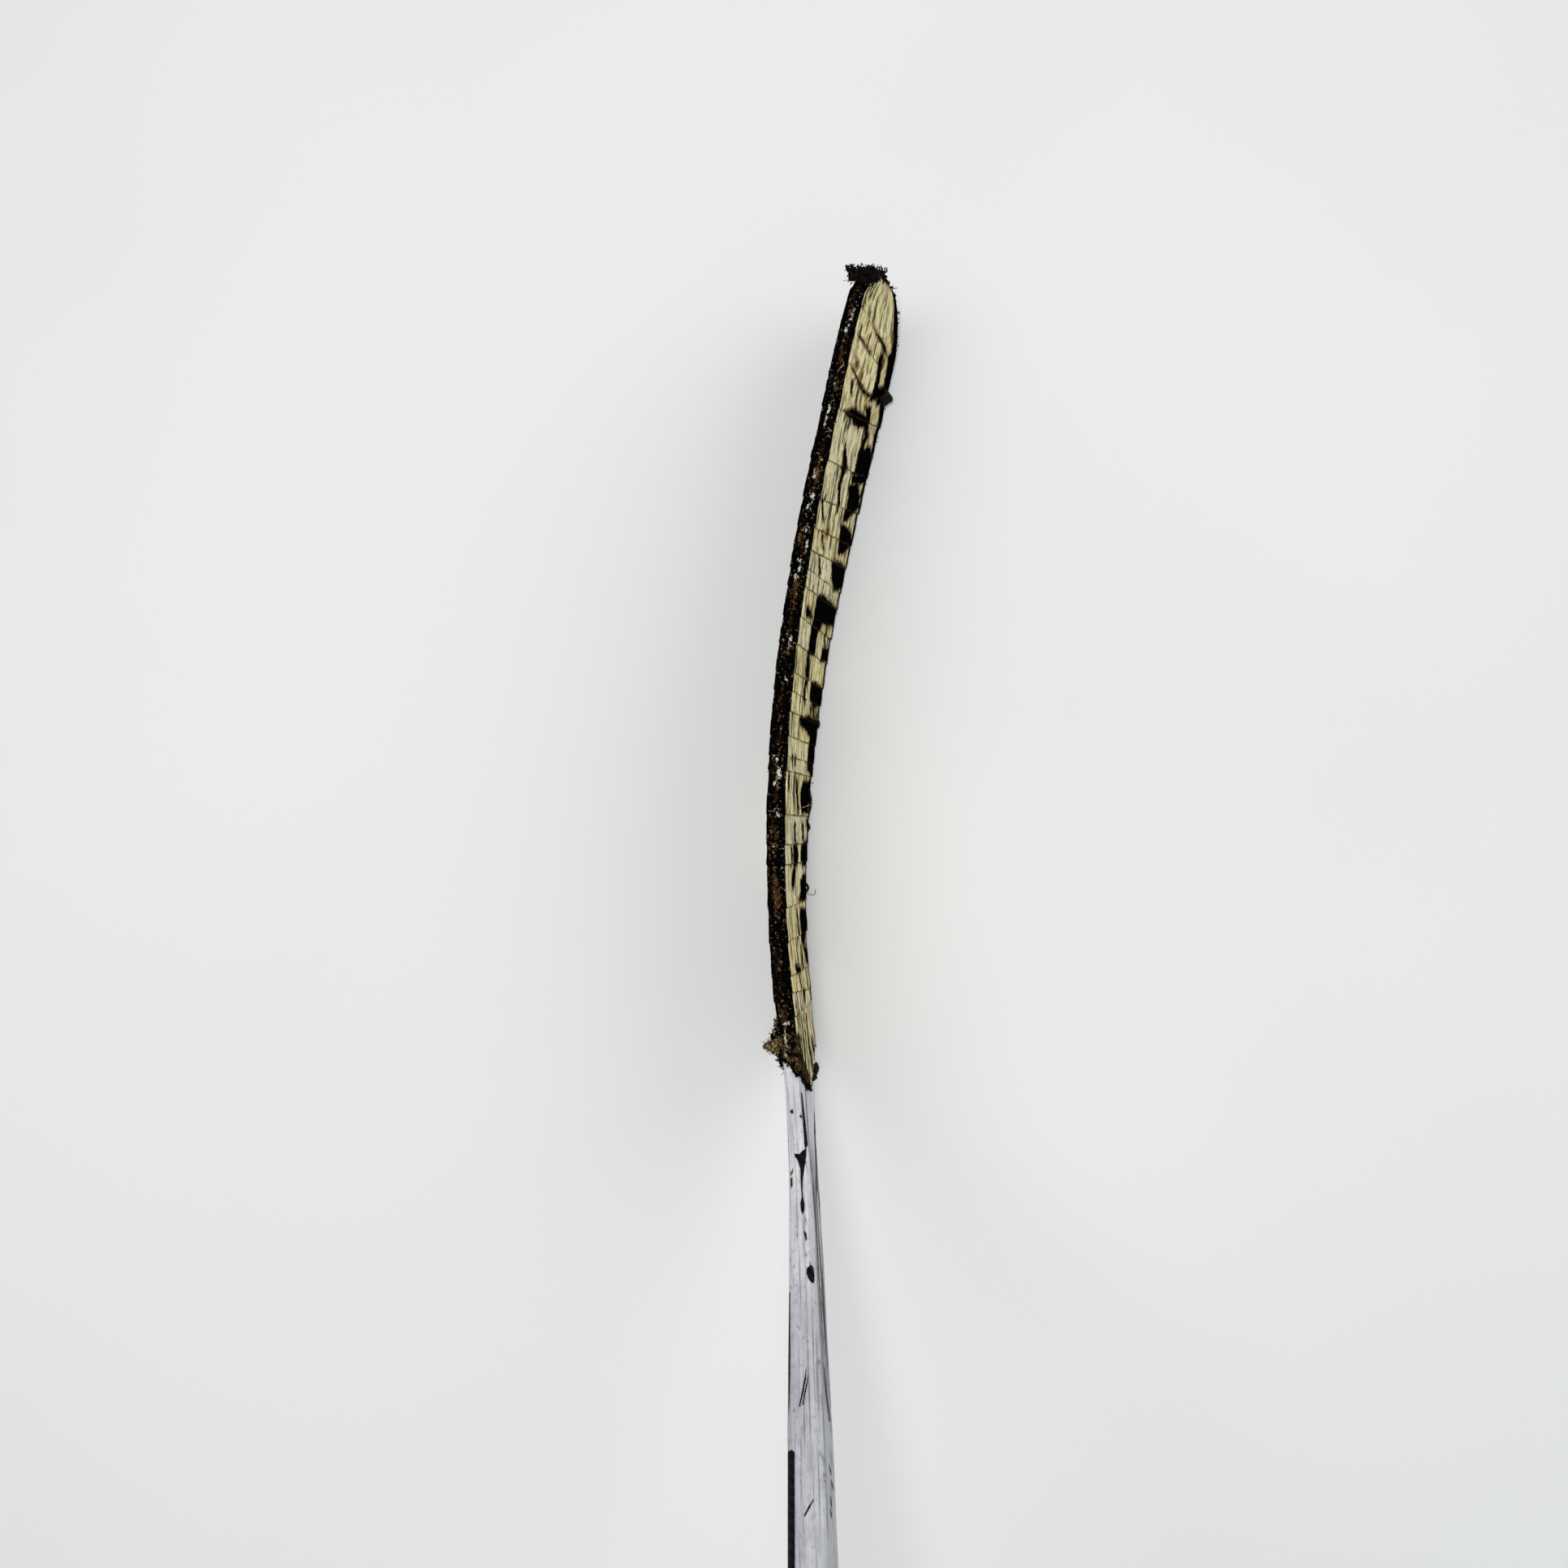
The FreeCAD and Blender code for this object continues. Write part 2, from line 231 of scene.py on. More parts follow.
# Each wrap's edge on the forehand at half height, and how much further
# towards the toe it runs per mm downwards.
WRAP_EDGES = ((11.5, 0.0), (18.5, -0.06), (26.7, -0.01), (40.8, 0.02), (54.0, 0.02),
              (70.4, 0.02), (78.2, 0.02), (89.8, 0.02), (106.8, 0.02), (112.4, 0.02),
              (120.2, 0.02), (129.8, 0.02), (137.6, 0.02), (145.1, 0.02), (156.1, 0.02),
              (167.0, 0.02), (179.5, 0.03), (186.7, 0.04), (195.8, 0.09), (205.3, 0.11),
              (218.0, 0.15), (233.8, 0.15), (255.6, 0.17))
EDGE_HEIGHT = 35.0
TILT_TABLE = ((-13.0, 0.0),) + WRAP_EDGES + ((268.0, 0.12), (284.0, 0.0), (330.0, 0.0))
# Slanting edges of the last wraps round the toe: distance and fraction of the
# height at both ends.
TOE_EDGES = ((295.6, -0.05, 290.6, 0.68), (284.0, -0.05, 282.2, 0.72), (270.9, -0.05, 268.0, 0.7),
             (291.0, 0.66, 272.5, 0.75), (302.5, 0.62, 286.0, 0.86))
# Black left on the forehand, as strips: four numbers for each station down a
# strip, its upper end and its lower end as distance and fraction of the height.
BLACK_STRIPS = (
    (17, 0.1, 17, 0.12, 5, 0.1, 5, 0.14, -4, 0.09, -4, 0.14, -14, 0.05, -14, 0.12),
    (14, 0.33, 14, 0.35, 3, 0.32, 3, 0.37, -6.5, 0.3, -6.5, 0.37, -18, 0.28, -18, 0.39),
    (20, 0.2, 20, 0.215, 2, 0.2, 2, 0.225, -12, 0.17, -12, 0.215),
    (10, 0.46, 10, 0.47, 0, 0.46, 0, 0.49, -15, 0.47, -15, 0.51),
    (8, 0.6, 8, 0.63, 0, 0.6, 0, 0.67, -8, 0.62, -8, 0.7, -14, 0.66, -14, 0.72),
    (312.3, 0.87, 314.1, 1.04, 308.7, 0.9, 311.1, 1.04, 304.2, 0.88, 306.5, 1.02,
     300.6, 0.93, 302.6, 1.04),
    (296, 0.98, 297.8, 1.04, 289.3, 0.81, 294.2, 1.04, 286.3, 0.86, 290, 1.04,
     283.1, 0.93, 285, 1.03),
    (292.9, 0.31, 293.5, 0.35, 291.4, 0.48, 292.3, 0.53, 290.3, 0.62, 291.4, 0.68,
     288.6, 0.68, 290.2, 0.77),
    (287.2, 0.64, 288.5, 0.71, 280.9, 0.65, 282.4, 0.73, 275.9, 0.66, 277.4, 0.74,
     270.2, 0.64, 272.9, 0.77, 266, 0.59, 269.9, 0.79),
    (283.7, 0.09, 284.4, 0.12, 283.1, 0.23, 283.9, 0.27, 282.5, 0.37, 283.5, 0.42),
    (270.3, 0.07, 271.1, 0.11, 268.5, 0.22, 269.3, 0.26, 267, 0.37, 267.9, 0.42,
     266.8, 0.53, 268.9, 0.64),
    (266.3, 0.13, 267.1, 0.18, 261.3, 0.18, 261.9, 0.21),
    (274.5, 0.75, 279.5, 1.01, 267.8, 0.8, 273.3, 1.04),
    (253.2, 0.1, 257.5, 0.32, 252.8, 0.21, 259.2, 0.55, 252.9, 0.36, 259.5, 0.7,
     252.3, 0.47, 257.8, 0.75),
    (262.9, 0.57, 265.5, 0.7, 258.6, 0.62, 260.4, 0.71, 252, 0.7, 253.8, 0.79,
     248.4, 0.68, 249.7, 0.75, 242.4, 0.65, 245.3, 0.81),
    (242, 0.3, 242.5, 0.33, 236, 0.3, 237.7, 0.39, 231.8, 0.36, 233.9, 0.47),
    (231.8, 0.36, 233.4, 0.45, 225.2, 0.35, 226.5, 0.43, 219.6, 0.41, 220.2, 0.45,
     215.5, 0.45, 216.1, 0.48),
    (250.2, 0.82, 251.9, 0.91, 242.6, 0.66, 248, 0.96, 233.9, 0.63, 240.2, 0.98),
    (234.8, 0.64, 241.1, 0.99, 231, 0.65, 236.5, 0.96),
    (230.1, 0.62, 233.6, 0.82, 224.5, 0.63, 229.9, 0.94, 220.6, 0.64, 225.8, 0.95,
     214.8, 0.65, 216.6, 0.76),
    (212.2, 0.59, 214.3, 0.72, 208.6, 0.64, 213.4, 0.95, 203.8, 0.68, 208.7, 1,
     201.5, 0.7, 202.8, 0.79),
    (196.3, 0.58, 199.3, 0.78, 193.8, 0.63, 198.9, 0.98, 190.3, 0.67, 195.2, 1.02,
     186.8, 0.78, 190.2, 1.03),
    (179.6, 0.38, 181.2, 0.51, 176.5, 0.37, 181.3, 0.75, 173.2, 0.36, 180.7, 0.96,
     169.1, 0.34, 177.2, 1.01, 171.4, 0.79, 174.6, 1.04),
    (169.1, 0.34, 172.8, 0.66, 163.4, 0.34, 165.7, 0.56, 158.7, 0.32, 160.9, 0.54,
     154.3, 0.33, 156.4, 0.54),
    (171.3, 0.09, 172.3, 0.18, 167.9, 0.15, 169.8, 0.32),
    (161.1, 0.77, 163.4, 0.98, 155.7, 0.76, 158.3, 1.02),
    (154.2, 0.32, 155.3, 0.43, 145.1, 0.37, 146.1, 0.47),
    (214.6, 0.03, 215.1, 0.06, 207.3, 0.13, 207.7, 0.16),
    (203.4, 0.17, 203.8, 0.2, 197.5, 0.25, 197.9, 0.28),
    (193.8, 0.22, 194.2, 0.25, 187.6, 0.3, 188, 0.33),
    (172.2, 0.72, 172.6, 0.75, 161.5, 0.84, 161.9, 0.87),
    (149.8, 0.32, 150.7, 0.42, 145.4, 0.35, 146.1, 0.44),
    (144.5, 0.37, 145.3, 0.47, 140.6, 0.35, 141.1, 0.41, 136, 0.37, 136.5, 0.43),
    (145.3, 0.58, 146.5, 0.72, 142.5, 0.58, 145.9, 0.96, 138.8, 0.59, 142.8, 1.04,
     135.8, 0.73, 139, 1.04),
    (135.8, 0.62, 136.1, 0.66, 130.1, 0.66, 130.3, 0.69),
    (136.5, 0.71, 136.9, 0.77, 130.7, 0.78, 131, 0.83),
    (136.5, 0.85, 136.7, 0.88, 131.2, 0.89, 131.5, 0.93),
    (129.1, 0.33, 131.7, 0.69, 126.3, 0.34, 131.8, 1.04, 125.1, 0.56, 129.3, 1.04,
     123, 0.74, 126.1, 1.04, 118.6, 0.74, 121.6, 1.04, 114.2, 0.73, 115.9, 1.04,
     109.9, 0.75, 111.8, 1.04, 107.3, 0.96, 108.5, 1.04),
    (112.7, 0.12, 112.9, 0.17, 108.3, 0.16, 108.4, 0.2),
    (113.2, 0.23, 113.4, 0.27, 109.2, 0.26, 109.4, 0.3),
    (104.3, 0.07, 104.6, 0.13, 98.9, 0.1, 99, 0.14),
    (104.1, 0.39, 104.3, 0.44, 90.7, 0.45, 90.8, 0.52),
    (104.7, 0.68, 106.5, 1.04, 100.6, 0.58, 102.3, 1.03, 95.8, 0.58, 96.9, 0.93,
     91.1, 0.63, 91.9, 0.93),
    (86.3, 0.36, 86.4, 0.42, 79.1, 0.36, 79.1, 0.42),
    (86.9, 0.7, 87.1, 0.77, 80.5, 0.72, 80.6, 0.79),
    (88.5, 0.91, 88.6, 0.95, 81.3, 0.94, 81.4, 0.98),
    (80.1, 0.81, 80.4, 1.04, 76.2, 0.77, 76.6, 1.04, 71.9, 0.74, 72, 1.04,
     69.5, 0.77, 69.4, 1.04),
    (77.8, 0.43, 77.9, 0.52, 73.9, 0.37, 74, 0.56, 69.2, 0.36, 69.2, 0.52),
    (76.9, 0.24, 76.9, 0.3, 69.3, 0.23, 69.3, 0.28),
    (78.3, 0.7, 78.8, 1.04, 75.1, 0.69, 75.4, 1.04, 70.8, 0.67, 70.8, 1.04),
    (78, 0.33, 78.2, 0.52, 70.3, 0.32, 70.3, 0.51),
    (68.2, 0.34, 68.2, 0.46, 64.7, 0.29, 64.6, 0.44, 60.1, 0.28, 60, 0.35),
    (65.6, 0.82, 65.5, 1.02, 62.8, 0.68, 62.3, 1.04, 57.5, 0.67, 56.7, 1.04,
     55, 0.56, 54.5, 0.85),
    (51.6, 0.66, 50.8, 1.02, 48.6, 0.62, 47.5, 1.01, 44.4, 0.62, 43.2, 0.97, 39, 0.7, 38.1, 0.9,
     36.5, 0.74, 35.8, 0.88),
    (52.1, 0.48, 52, 0.53, 39.8, 0.48, 39.6, 0.54),
    (35.7, 0.74, 34.1, 1.04, 32.1, 0.83, 30.9, 1.04, 28.5, 0.85, 27.3, 1.04),
    (30.6, 0.21, 30.2, 0.28, 29.1, 0.23, 27.5, 0.53, 27, 0.28, 25.6, 0.53),
    (36.2, 0.62, 36, 0.67, 26.8, 0.61, 26.4, 0.67),
    (26.4, 0.43, 26.1, 0.48, 20.7, 0.44, 20.5, 0.48),
    (18.1, 0.91, 16.4, 1.04, 15.5, 0.93, 13.8, 1.04, 12.6, 0.93, 10.7, 1.04),
    (19.2, 0.54, 18.3, 0.67, 14.7, 0.53, 14.3, 0.59),
    (4.4, 1.02, 2.7, 1.04, -2.6, 0.99, -4.8, 1.04),
    (2.3, 0.99, 0.8, 1.04, -2.8, 0.97, -5.1, 1.04),
    (-2, 0.8, -2.8, 0.87, -14.5, 0.9, -15.3, 0.97),
)
# Brown stains on the forehand: distance, fraction of the height, radii in mm.
STAINS = ((274.0, 0.19, 4.2, 5.0), (271.5, 0.34, 4.5, 3.0), (298.0, 0.86, 5.5, 4.0),
          (290.5, 0.7, 3.0, 4.5), (303.0, 0.12, 5.0, 2.6), (233.5, 0.33, 3.0, 4.0),
          (205.0, 0.3, 5.0, 6.0), (262.0, 0.55, 3.0, 3.0))
# Frayed pale bits along the top edge and the heel: distance, offset across the
# edge, radius along, radius across, strength.
FRAYS = ((291.2, -0.7, 4.0, 1.2, 0.75), (284.5, 0.0, 3.6, 1.1, 0.8), (261.7, 0.3, 1.8, 0.8, 0.8),
         (250.5, 0.3, 3.2, 0.9, 1.0), (245.6, 0.6, 2.6, 0.8, 0.9), (241.8, -1.9, 2.0, 0.8, 0.8),
         (229.4, -1.1, 1.2, 0.8, 0.7), (223.6, 0.5, 2.4, 1.3, 0.8), (214.6, -0.2, 2.4, 1.6, 0.8),
         (209.8, 0.7, 2.0, 1.4, 0.7), (200.7, -0.6, 2.4, 1.6, 0.7), (194.4, -1.4, 3.2, 1.0, 0.85),
         (187.9, -0.4, 2.2, 1.2, 0.8), (184.7, -0.2, 1.4, 1.3, 1.0), (181.6, 0.5, 1.4, 1.2, 1.0),
         (157.1, -1.0, 2.0, 1.2, 0.8), (154.3, -0.7, 1.8, 1.0, 0.85), (141.2, -1.1, 1.6, 1.0, 0.6),
         (110.5, 0.4, 3.0, 1.4, 0.6), (104.5, -0.6, 3.6, 1.6, 0.95), (100.6, 0.8, 2.2, 1.2, 0.8),
         (89.0, -0.8, 1.6, 1.2, 0.7), (77.0, 0.6, 1.4, 1.6, 0.55), (9.5, 0.2, 1.4, 2.0, 0.8),
         (4.0, 1.2, 3.6, 0.9, 0.75), (-1.5, 1.4, 2.0, 0.8, 0.6), (-9.6, 1.6, 1.8, 1.2, 0.75))


def outline_points(grow):
    """Side profile of the taped blade, grown outwards, as a closed polygon."""
    toe = smooth_line(TOE_ROUND, 60)
    top = smooth_line(TOP_EDGE, 90)
    loop = np.concatenate([[NECK_OUTER], HEEL_ARC, toe, top[1:]])
    along = unit(loop - np.roll(loop, 1, axis=0)) + unit(np.roll(loop, -1, axis=0) - loop)
    out = unit(np.stack([along[:, 1], -along[:, 0]], -1))
    extra = TOE_EXTRA * fade(loop[:, 0], *TOE_EXTRA_RUN)
    return loop + out * (grow + extra)[:, None]


OUTLINE = outline_points(TAPE_MEAN)
PROBE_LOW, PROBE_HIGH = -14.0, 130.0   # heights that span the whole profile


def height_limits(u):
    """Lowest and highest height where the section at u meets the profile."""
    ends = blade_point(np.array([u, u]), np.array([PROBE_LOW, PROBE_HIGH]), np.zeros(2))[:, (0, 2)]
    line = ends[1] - ends[0]
    normal = np.array([line[1], -line[0]])
    side = (OUTLINE - ends[0]) @ normal
    nxt = np.roll(side, -1)
    hit = np.nonzero((side > 0) != (nxt > 0))[0]
    if len(hit) < 2:
        return None
    part = (side[hit] / (side[hit] - nxt[hit]))[:, None]
    cross = OUTLINE[hit] * (1 - part) + np.roll(OUTLINE, -1, axis=0)[hit] * part
    reach = PROBE_LOW + (PROBE_HIGH - PROBE_LOW) * ((cross - ends[0]) @ line) / (line @ line)
    return reach.min(), reach.max()


TIP_SEARCH = 300.0                     # the tip lies a little beyond this distance
TOE_TIP, tip_step = TIP_SEARCH, 0.25
while height_limits(TOE_TIP + tip_step):
    TOE_TIP += tip_step
while tip_step > 0.004:
    tip_step /= 2
    if height_limits(TOE_TIP + tip_step):
        TOE_TIP += tip_step
last_even = TIP_SEARCH - 0.5
LIMIT_U = np.concatenate([
    np.arange(-30.0, TIP_SEARCH, 1.0),
    last_even + (TOE_TIP - last_even) * (1 - np.linspace(1.0, 0.0, 60) ** 2)])
LIMITS = np.array([height_limits(u) for u in LIMIT_U])


def low_height(u):
    return np.interp(u, LIMIT_U, LIMITS[:, 0])


def top_height(u):
    return np.interp(u, LIMIT_U, LIMITS[:, 1])


# ---- ring layout: forehand face, sole, backhand face, top edge ----
RIM_TOP, RIM_SOLE = 0.75, 2.0          # corner radii of the taped section


def face_rows(fractions, side):
    """Down or up one face: fraction down, height shift, side, inset, normal."""
    return [(f, -RIM_TOP * (1 - f) + RIM_SOLE * f, side, 0.0, side, 0.0) for f in fractions]


def rim_rows(degrees, side, up):
    """Round one corner of the section; up is 1 at the top edge, -1 at the sole."""
    radius = RIM_TOP if up > 0 else RIM_SOLE
    return [((1 - up) / 2, -up * radius * (1 - math.sin(a)), side,
             -side * radius * (1 - math.cos(a)), side * math.cos(a), up * math.sin(a))
            for a in np.radians(degrees)]


ARC = (18, 36, 54, 72, 90)
layout = (face_rows(np.linspace(0, 1, 96), -1.0) + rim_rows(ARC, -1.0, -1)
          + rim_rows(ARC[::-1], 1.0, -1) + face_rows(np.linspace(1, 0, 64), 1.0)
          + rim_rows((30, 60), 1.0, 1)
          + [(0.0, 0.0, k, -RIM_TOP * k, 0.0, 1.0) for k in np.linspace(1, -1, 13)]
          + rim_rows((60, 30), -1.0, 1))
DOWN, SHIFT_V, SIDE, INSET, OUT_W, OUT_V = np.array(layout).T
AROUND = len(layout)
on_forehand, on_backhand = OUT_W < -0.5, OUT_W > 0.5
on_top, on_sole = OUT_V > 0.4, OUT_V < -0.4

# ---- stations along the blade, with a close pair at every wrap edge ----
BODY_END, BODY_STEP = 286.0, 0.8       # even stations up to the toe's curve
NEAR_EDGE = (-0.32, -0.06, 0.14, 0.6)
edge_u = column(WRAP_EDGES, 0)
body_q = list(np.arange(TAPE_START, BODY_END, BODY_STEP))
for e in edge_u:
    body_q = [q for q in body_q if abs(q - e) > 0.5] + [e + gap for gap in NEAR_EDGE]
body_q.sort()
last_q = body_q[-1]
tip_q = last_q + (TOE_TIP - last_q) * (1 - (1 - np.linspace(0, 1, 60)[1:]) ** 1.7)
Q = np.concatenate([body_q, tip_q])
Q2 = np.repeat(Q[:, None], AROUND, 1)
DOWN2 = np.repeat(DOWN[None], len(Q), 0)


def per_ring(values):
    """The same row of values for every ring along the blade."""
    return np.repeat(np.asarray(values, float)[None], len(Q), 0)


# the ragged start: further back lower down the forehand
START_TABLE = ((0.0, -10.5), (0.1, -12.5), (0.55, -19.5), (0.7, -18.0), (0.88, -11.0),
               (1.0, -7.0))
BEHIND_TABLE = ((0.0, 6.0), (0.55, 9.0), (0.9, 3.0), (1.0, 0.0))   # shorter on the backhand
TOP_ROWS = 0.02                        # rows above this fraction lie on the top edge
RAGGED = ((0.16, 5, 3.2), (0.62, 6, 1.7))   # noise cells per point, seed, size in mm
top_lean = np.where(DOWN < TOP_ROWS, np.clip(SIDE, -1, 1), -1.0)
start_u = look_up(START_TABLE, DOWN)
start_u = start_u + np.where(DOWN < 0.5, fade(top_lean, -1.0, 1.0) * 6.0 * (1 - DOWN * 2), 0.0)
behind = (SIDE > 0.5) & (DOWN >= TOP_ROWS)
start_u = start_u + np.where(behind, look_up(BEHIND_TABLE, DOWN), 0.0)
around_at = np.arange(AROUND)
for cells, seed, size in RAGGED:
    start_u = start_u + (patchy(around_at * cells, np.zeros(AROUND), seed) - 0.5) * size
tilt = look_up(TILT_TABLE, Q)[:, None]
span_v = (top_height(Q) - low_height(Q))[:, None]
height_guess = low_height(Q)[:, None] + (1 - DOWN2) * span_v
U = Q2 + tilt * (EDGE_HEIGHT - height_guess)
hold = 1 - fade(Q, TAPE_START, 14.0)[:, None]
U = U + hold * (start_u - TAPE_START)
U = np.minimum(U, TOE_TIP)

# ---- which wrap a point is on ----
# the first wrap's edge, one before it and one past the tip close the list
all_edges = np.concatenate([[-40.0, TAPE_START], edge_u, [TOE_TIP + 6]])
wrap_numbers = np.arange(len(all_edges)) - 1.0
carry = np.where(on_backhand, 1 - DOWN2, 0.0)      # one wrap back over the backhand
wrap_at = np.interp(Q2, all_edges, wrap_numbers) - carry * fade(Q2, 4.0, 24.0)
wrap_index = np.floor(wrap_at + 1e-4)
wrap_edge = np.interp(wrap_index, wrap_numbers, all_edges)
wrap_next = np.interp(wrap_index + 1, wrap_numbers, all_edges)
past_edge = (wrap_at - wrap_index) * (wrap_next - wrap_edge)     # mm past the last edge
to_next = wrap_next - wrap_edge - past_edge
build = LAP_STEP * np.clip(1 - past_edge / LAP_FALL, 0, 1) ** 0.7 - LAP_STEP * 0.35
near_edge = np.where(past_edge < to_next, past_edge, -to_next)

LOW, TOP = low_height(U), top_height(U)
HEIGHT = TOP + (LOW - TOP) * DOWN2
# the corner radii shrink where the section is too low to hold them
tight = np.clip((TOP - LOW) / (2.2 * (RIM_TOP + RIM_SOLE)), 0.0, 1.0)
HEIGHT = HEIGHT + SHIFT_V * tight


def segment_gap(u, v, u0, v0, u1, v1):
    """Distance to a segment in mm, and the sign of the side it is on."""
    dx, dy = u1 - u0, v1 - v0
    t = np.clip(((u - u0) * dx + (v - v0) * dy) / (dx * dx + dy * dy), 0, 1)
    gap = np.hypot(u - u0 - t * dx, v - v0 - t * dy)
    return gap, np.sign((u - u0) * dy - (v - v0) * dx)


FACE_MM = 58.0                         # fractions of height to mm for the wear shapes
TOE_MM = 50.0                          # the same for the wraps round the toe
TOE_WRAPS = 262.0                      # where those wraps begin
TOE_LAP_FALL = 6.0                     # distance over which their steps thin out
down_mm = DOWN2 * (TOP - LOW)
scale_mm = np.maximum(TOP - LOW, 12.0)
for u0, f0, u1, f1 in TOE_EDGES:
    gap, turn = segment_gap(U, DOWN2 * scale_mm, u0, f0 * TOE_MM, u1, f1 * TOE_MM)
    use = (on_forehand & (Q2 > TOE_WRAPS)).astype(float)
    lap = LAP_STEP * np.clip(1 - gap / TOE_LAP_FALL, 0, 1) * (turn < 0) * fade(gap, 0.0, 0.25)
    build = build + use * lap * 0.7
    closer = (use > 0) & (gap < np.abs(near_edge))
    near_edge = np.where(closer, gap * np.where(turn < 0, 1, -1), near_edge)


def polygon_gap(u, v, corners):
    """Signed distance to a polygon, positive inside, in mm."""
    inside = np.zeros(u.shape, bool)
    best = np.full(u.shape, np.inf)
    corners = np.reshape(corners, (-1, 2)).astype(float)
    for (u0, v0), (u1, v1) in zip(corners, np.roll(corners, -1, axis=0)):
        best = np.minimum(best, segment_gap(u, v, u0, v0, u1, v1)[0])
        if v0 != v1:
            inside ^= ((v0 > v) != (v1 > v)) & (u < (u1 - u0) * (v - v0) / (v1 - v0) + u0)
    return np.where(inside, best, -best)


# "black" is a signed distance in mm: above 0 the tape is still black.
ALL_PALE, ALL_BLACK, SOLE_BLACK = -30.0, 6.0, 2.0
fore = np.nonzero(on_forehand)[0]
u_f, v_f = U[:, fore], DOWN2[:, fore] * FACE_MM
black_f = np.full(u_f.shape, ALL_PALE)
for strip in BLACK_STRIPS:
    strip = np.reshape(strip, (-1, 4)) * (1.0, FACE_MM, 1.0, FACE_MM)
    corners = np.concatenate([strip[:, :2], strip[::-1, 2:]])
    black_f = np.maximum(black_f, polygon_gap(u_f, v_f, corners))
# the rims next to the sole and at the toe stay black
RIM_TABLE = ((0, 0.97), (40, 0.97), (110, 0.94), (200, 0.97), (262, 0.93), (276, 0.86),
             (288, 0.85), (298, 0.9), (303, 0.84))
rim = look_up(RIM_TABLE, U[:, fore])
black_f = np.maximum(black_f, (DOWN2[:, fore] - rim) * FACE_MM)
black_f = np.maximum(black_f, (U[:, fore] - (TOE_TIP - 1.6)))

# backhand: mostly black, worn in bands near the toe and the sole
back_wear = (patchy(U * 0.055, down_mm * 0.1 + 9, 31) * 0.6
             + patchy(U * 0.2, down_mm * 0.3, 32) * 0.4)
back_black = (0.66 - back_wear) * 14.0 + 2.0 * (U < 60) - 2.5 * fade(DOWN2, 0.82, 1.0)
black = np.where(on_backhand | on_sole, back_black, ALL_BLACK)
black[:, fore] = black_f
black = np.where(on_sole & (OUT_W < 0), SOLE_BLACK, black)

stain = np.zeros(U.shape)
for u0, f0, ru, rv in STAINS:
    stain = np.maximum(stain, 1 - np.hypot((U - u0) / ru, (DOWN2 - f0) * FACE_MM / rv))
stain = np.clip(stain, 0, 1) * on_forehand
# the heel's last wraps are soaked dark
heel_reach = 0.16 + 0.3 * fade(-U, 2.0, 16.0)      # fraction down the forehand
heel_side = np.where(on_forehand, 1 - fade(DOWN - heel_reach, -0.06, 0.1), 1.0)
heel_dark = (1 - fade(U, -1.0, 12.0)) * heel_side
heel_rim = 1 - fade(Q2 - TAPE_START, 0.3, 2.4)
heel_dark = heel_dark + heel_rim * np.where(on_backhand, 0.6, 1.0)

# ---- surface relief ----
# Noise cells per mm along and per point around, shift from wrap to wrap, seed,
# height in mm and where it applies.
RELIEF_NOISE = ((0.12, 0.05, 3.0, 11, 0.34, 1.0), (0.45, 0.16, 5.0, 12, 0.16, 1.0),
                (1.1, 0.5, 0.0, 13, 0.10, 1.0), (0.9, 0.9, 0.0, 14, 0.42, on_top),
                (0.5, 0.6, 0.0, 15, 0.5, on_sole))
relief = build
for along, around, wrap_shift, seed, height, where in RELIEF_NOISE:
    noise = patchy(U * along, around_at * around + wrap_shift * wrap_index, seed)
    relief = relief + (noise - 0.5) * height * where
LIP = 0.5                              # frayed this far to each side of a wrap's edge
lip = (patchy(around_at * 0.9 + U * 0, wrap_index * 3.1, 16) - 0.5) * 0.2
relief = relief + np.where(np.abs(near_edge) < LIP, lip, 0)
RELIEF_MAX = 0.30                      # highest relief above the mean tape
START_SINK = 0.55                      # the first wrap's edge meets the paint
tip_fade = np.clip((TOE_TIP - U) / 3.0, 0, 1)
relief = np.minimum(relief, RELIEF_MAX) * (0.3 + 0.7 * tip_fade)
relief = relief - (1 - fade(Q2, TAPE_START, TAPE_START + 0.9)) * START_SINK

half = np.maximum(half_thickness(U), shaft_width((-U + HEIGHT) * HALF_ROOT) / 2) + TAPE_MEAN
round_in = np.sqrt(np.clip(1 - (1 - np.clip((TOE_TIP - U) / 2.4, 0, 1)) ** 2, 0.0, 1.0))
half = half * round_in
inset = np.minimum(np.abs(INSET), half) * np.sign(INSET)
OFFSET = SIDE * half + inset + OUT_W * relief * round_in
HEIGHT = HEIGHT + OUT_V * relief * tight
wrap_rings = blade_point(U, HEIGHT, OFFSET)

zone = np.where(on_top, 1.0, np.where(on_forehand, 0.0, 2.0))
across = np.where(on_top, SIDE * 2.9 + INSET, DOWN * FACE_MM)
layer_shift = zone * 40.0 + np.where(on_top, 0.0, wrap_index * 3.7)
band = np.modf(np.abs(np.sin(wrap_index * 12.9898 + 4.1)) * 4375.85)[0]   # one shade a wrap
fray = np.zeros(U.shape)
lean = np.where(on_top, OFFSET, np.where(OUT_W < 0, -9.0, 9.0))
for u0, w0, ru, rw, strength in FRAYS:
    reach = 1.25 - np.hypot((U - u0) / ru, (lean - w0) / rw)
    fray = np.maximum(fray, strength * np.clip(reach, 0, 1))
wrap_mesh = ring_mesh("blade_wrap", wrap_rings, {
    "spot": np.stack([U, per_ring(across), layer_shift], -1), "black": black,
    "lap": near_edge, "band": band, "stain": stain, "heel": heel_dark, "fray": fray,
    "rim": per_ring(np.where(on_top, 1 - np.abs(SIDE), 0.0)), "edge": per_ring(on_top)})


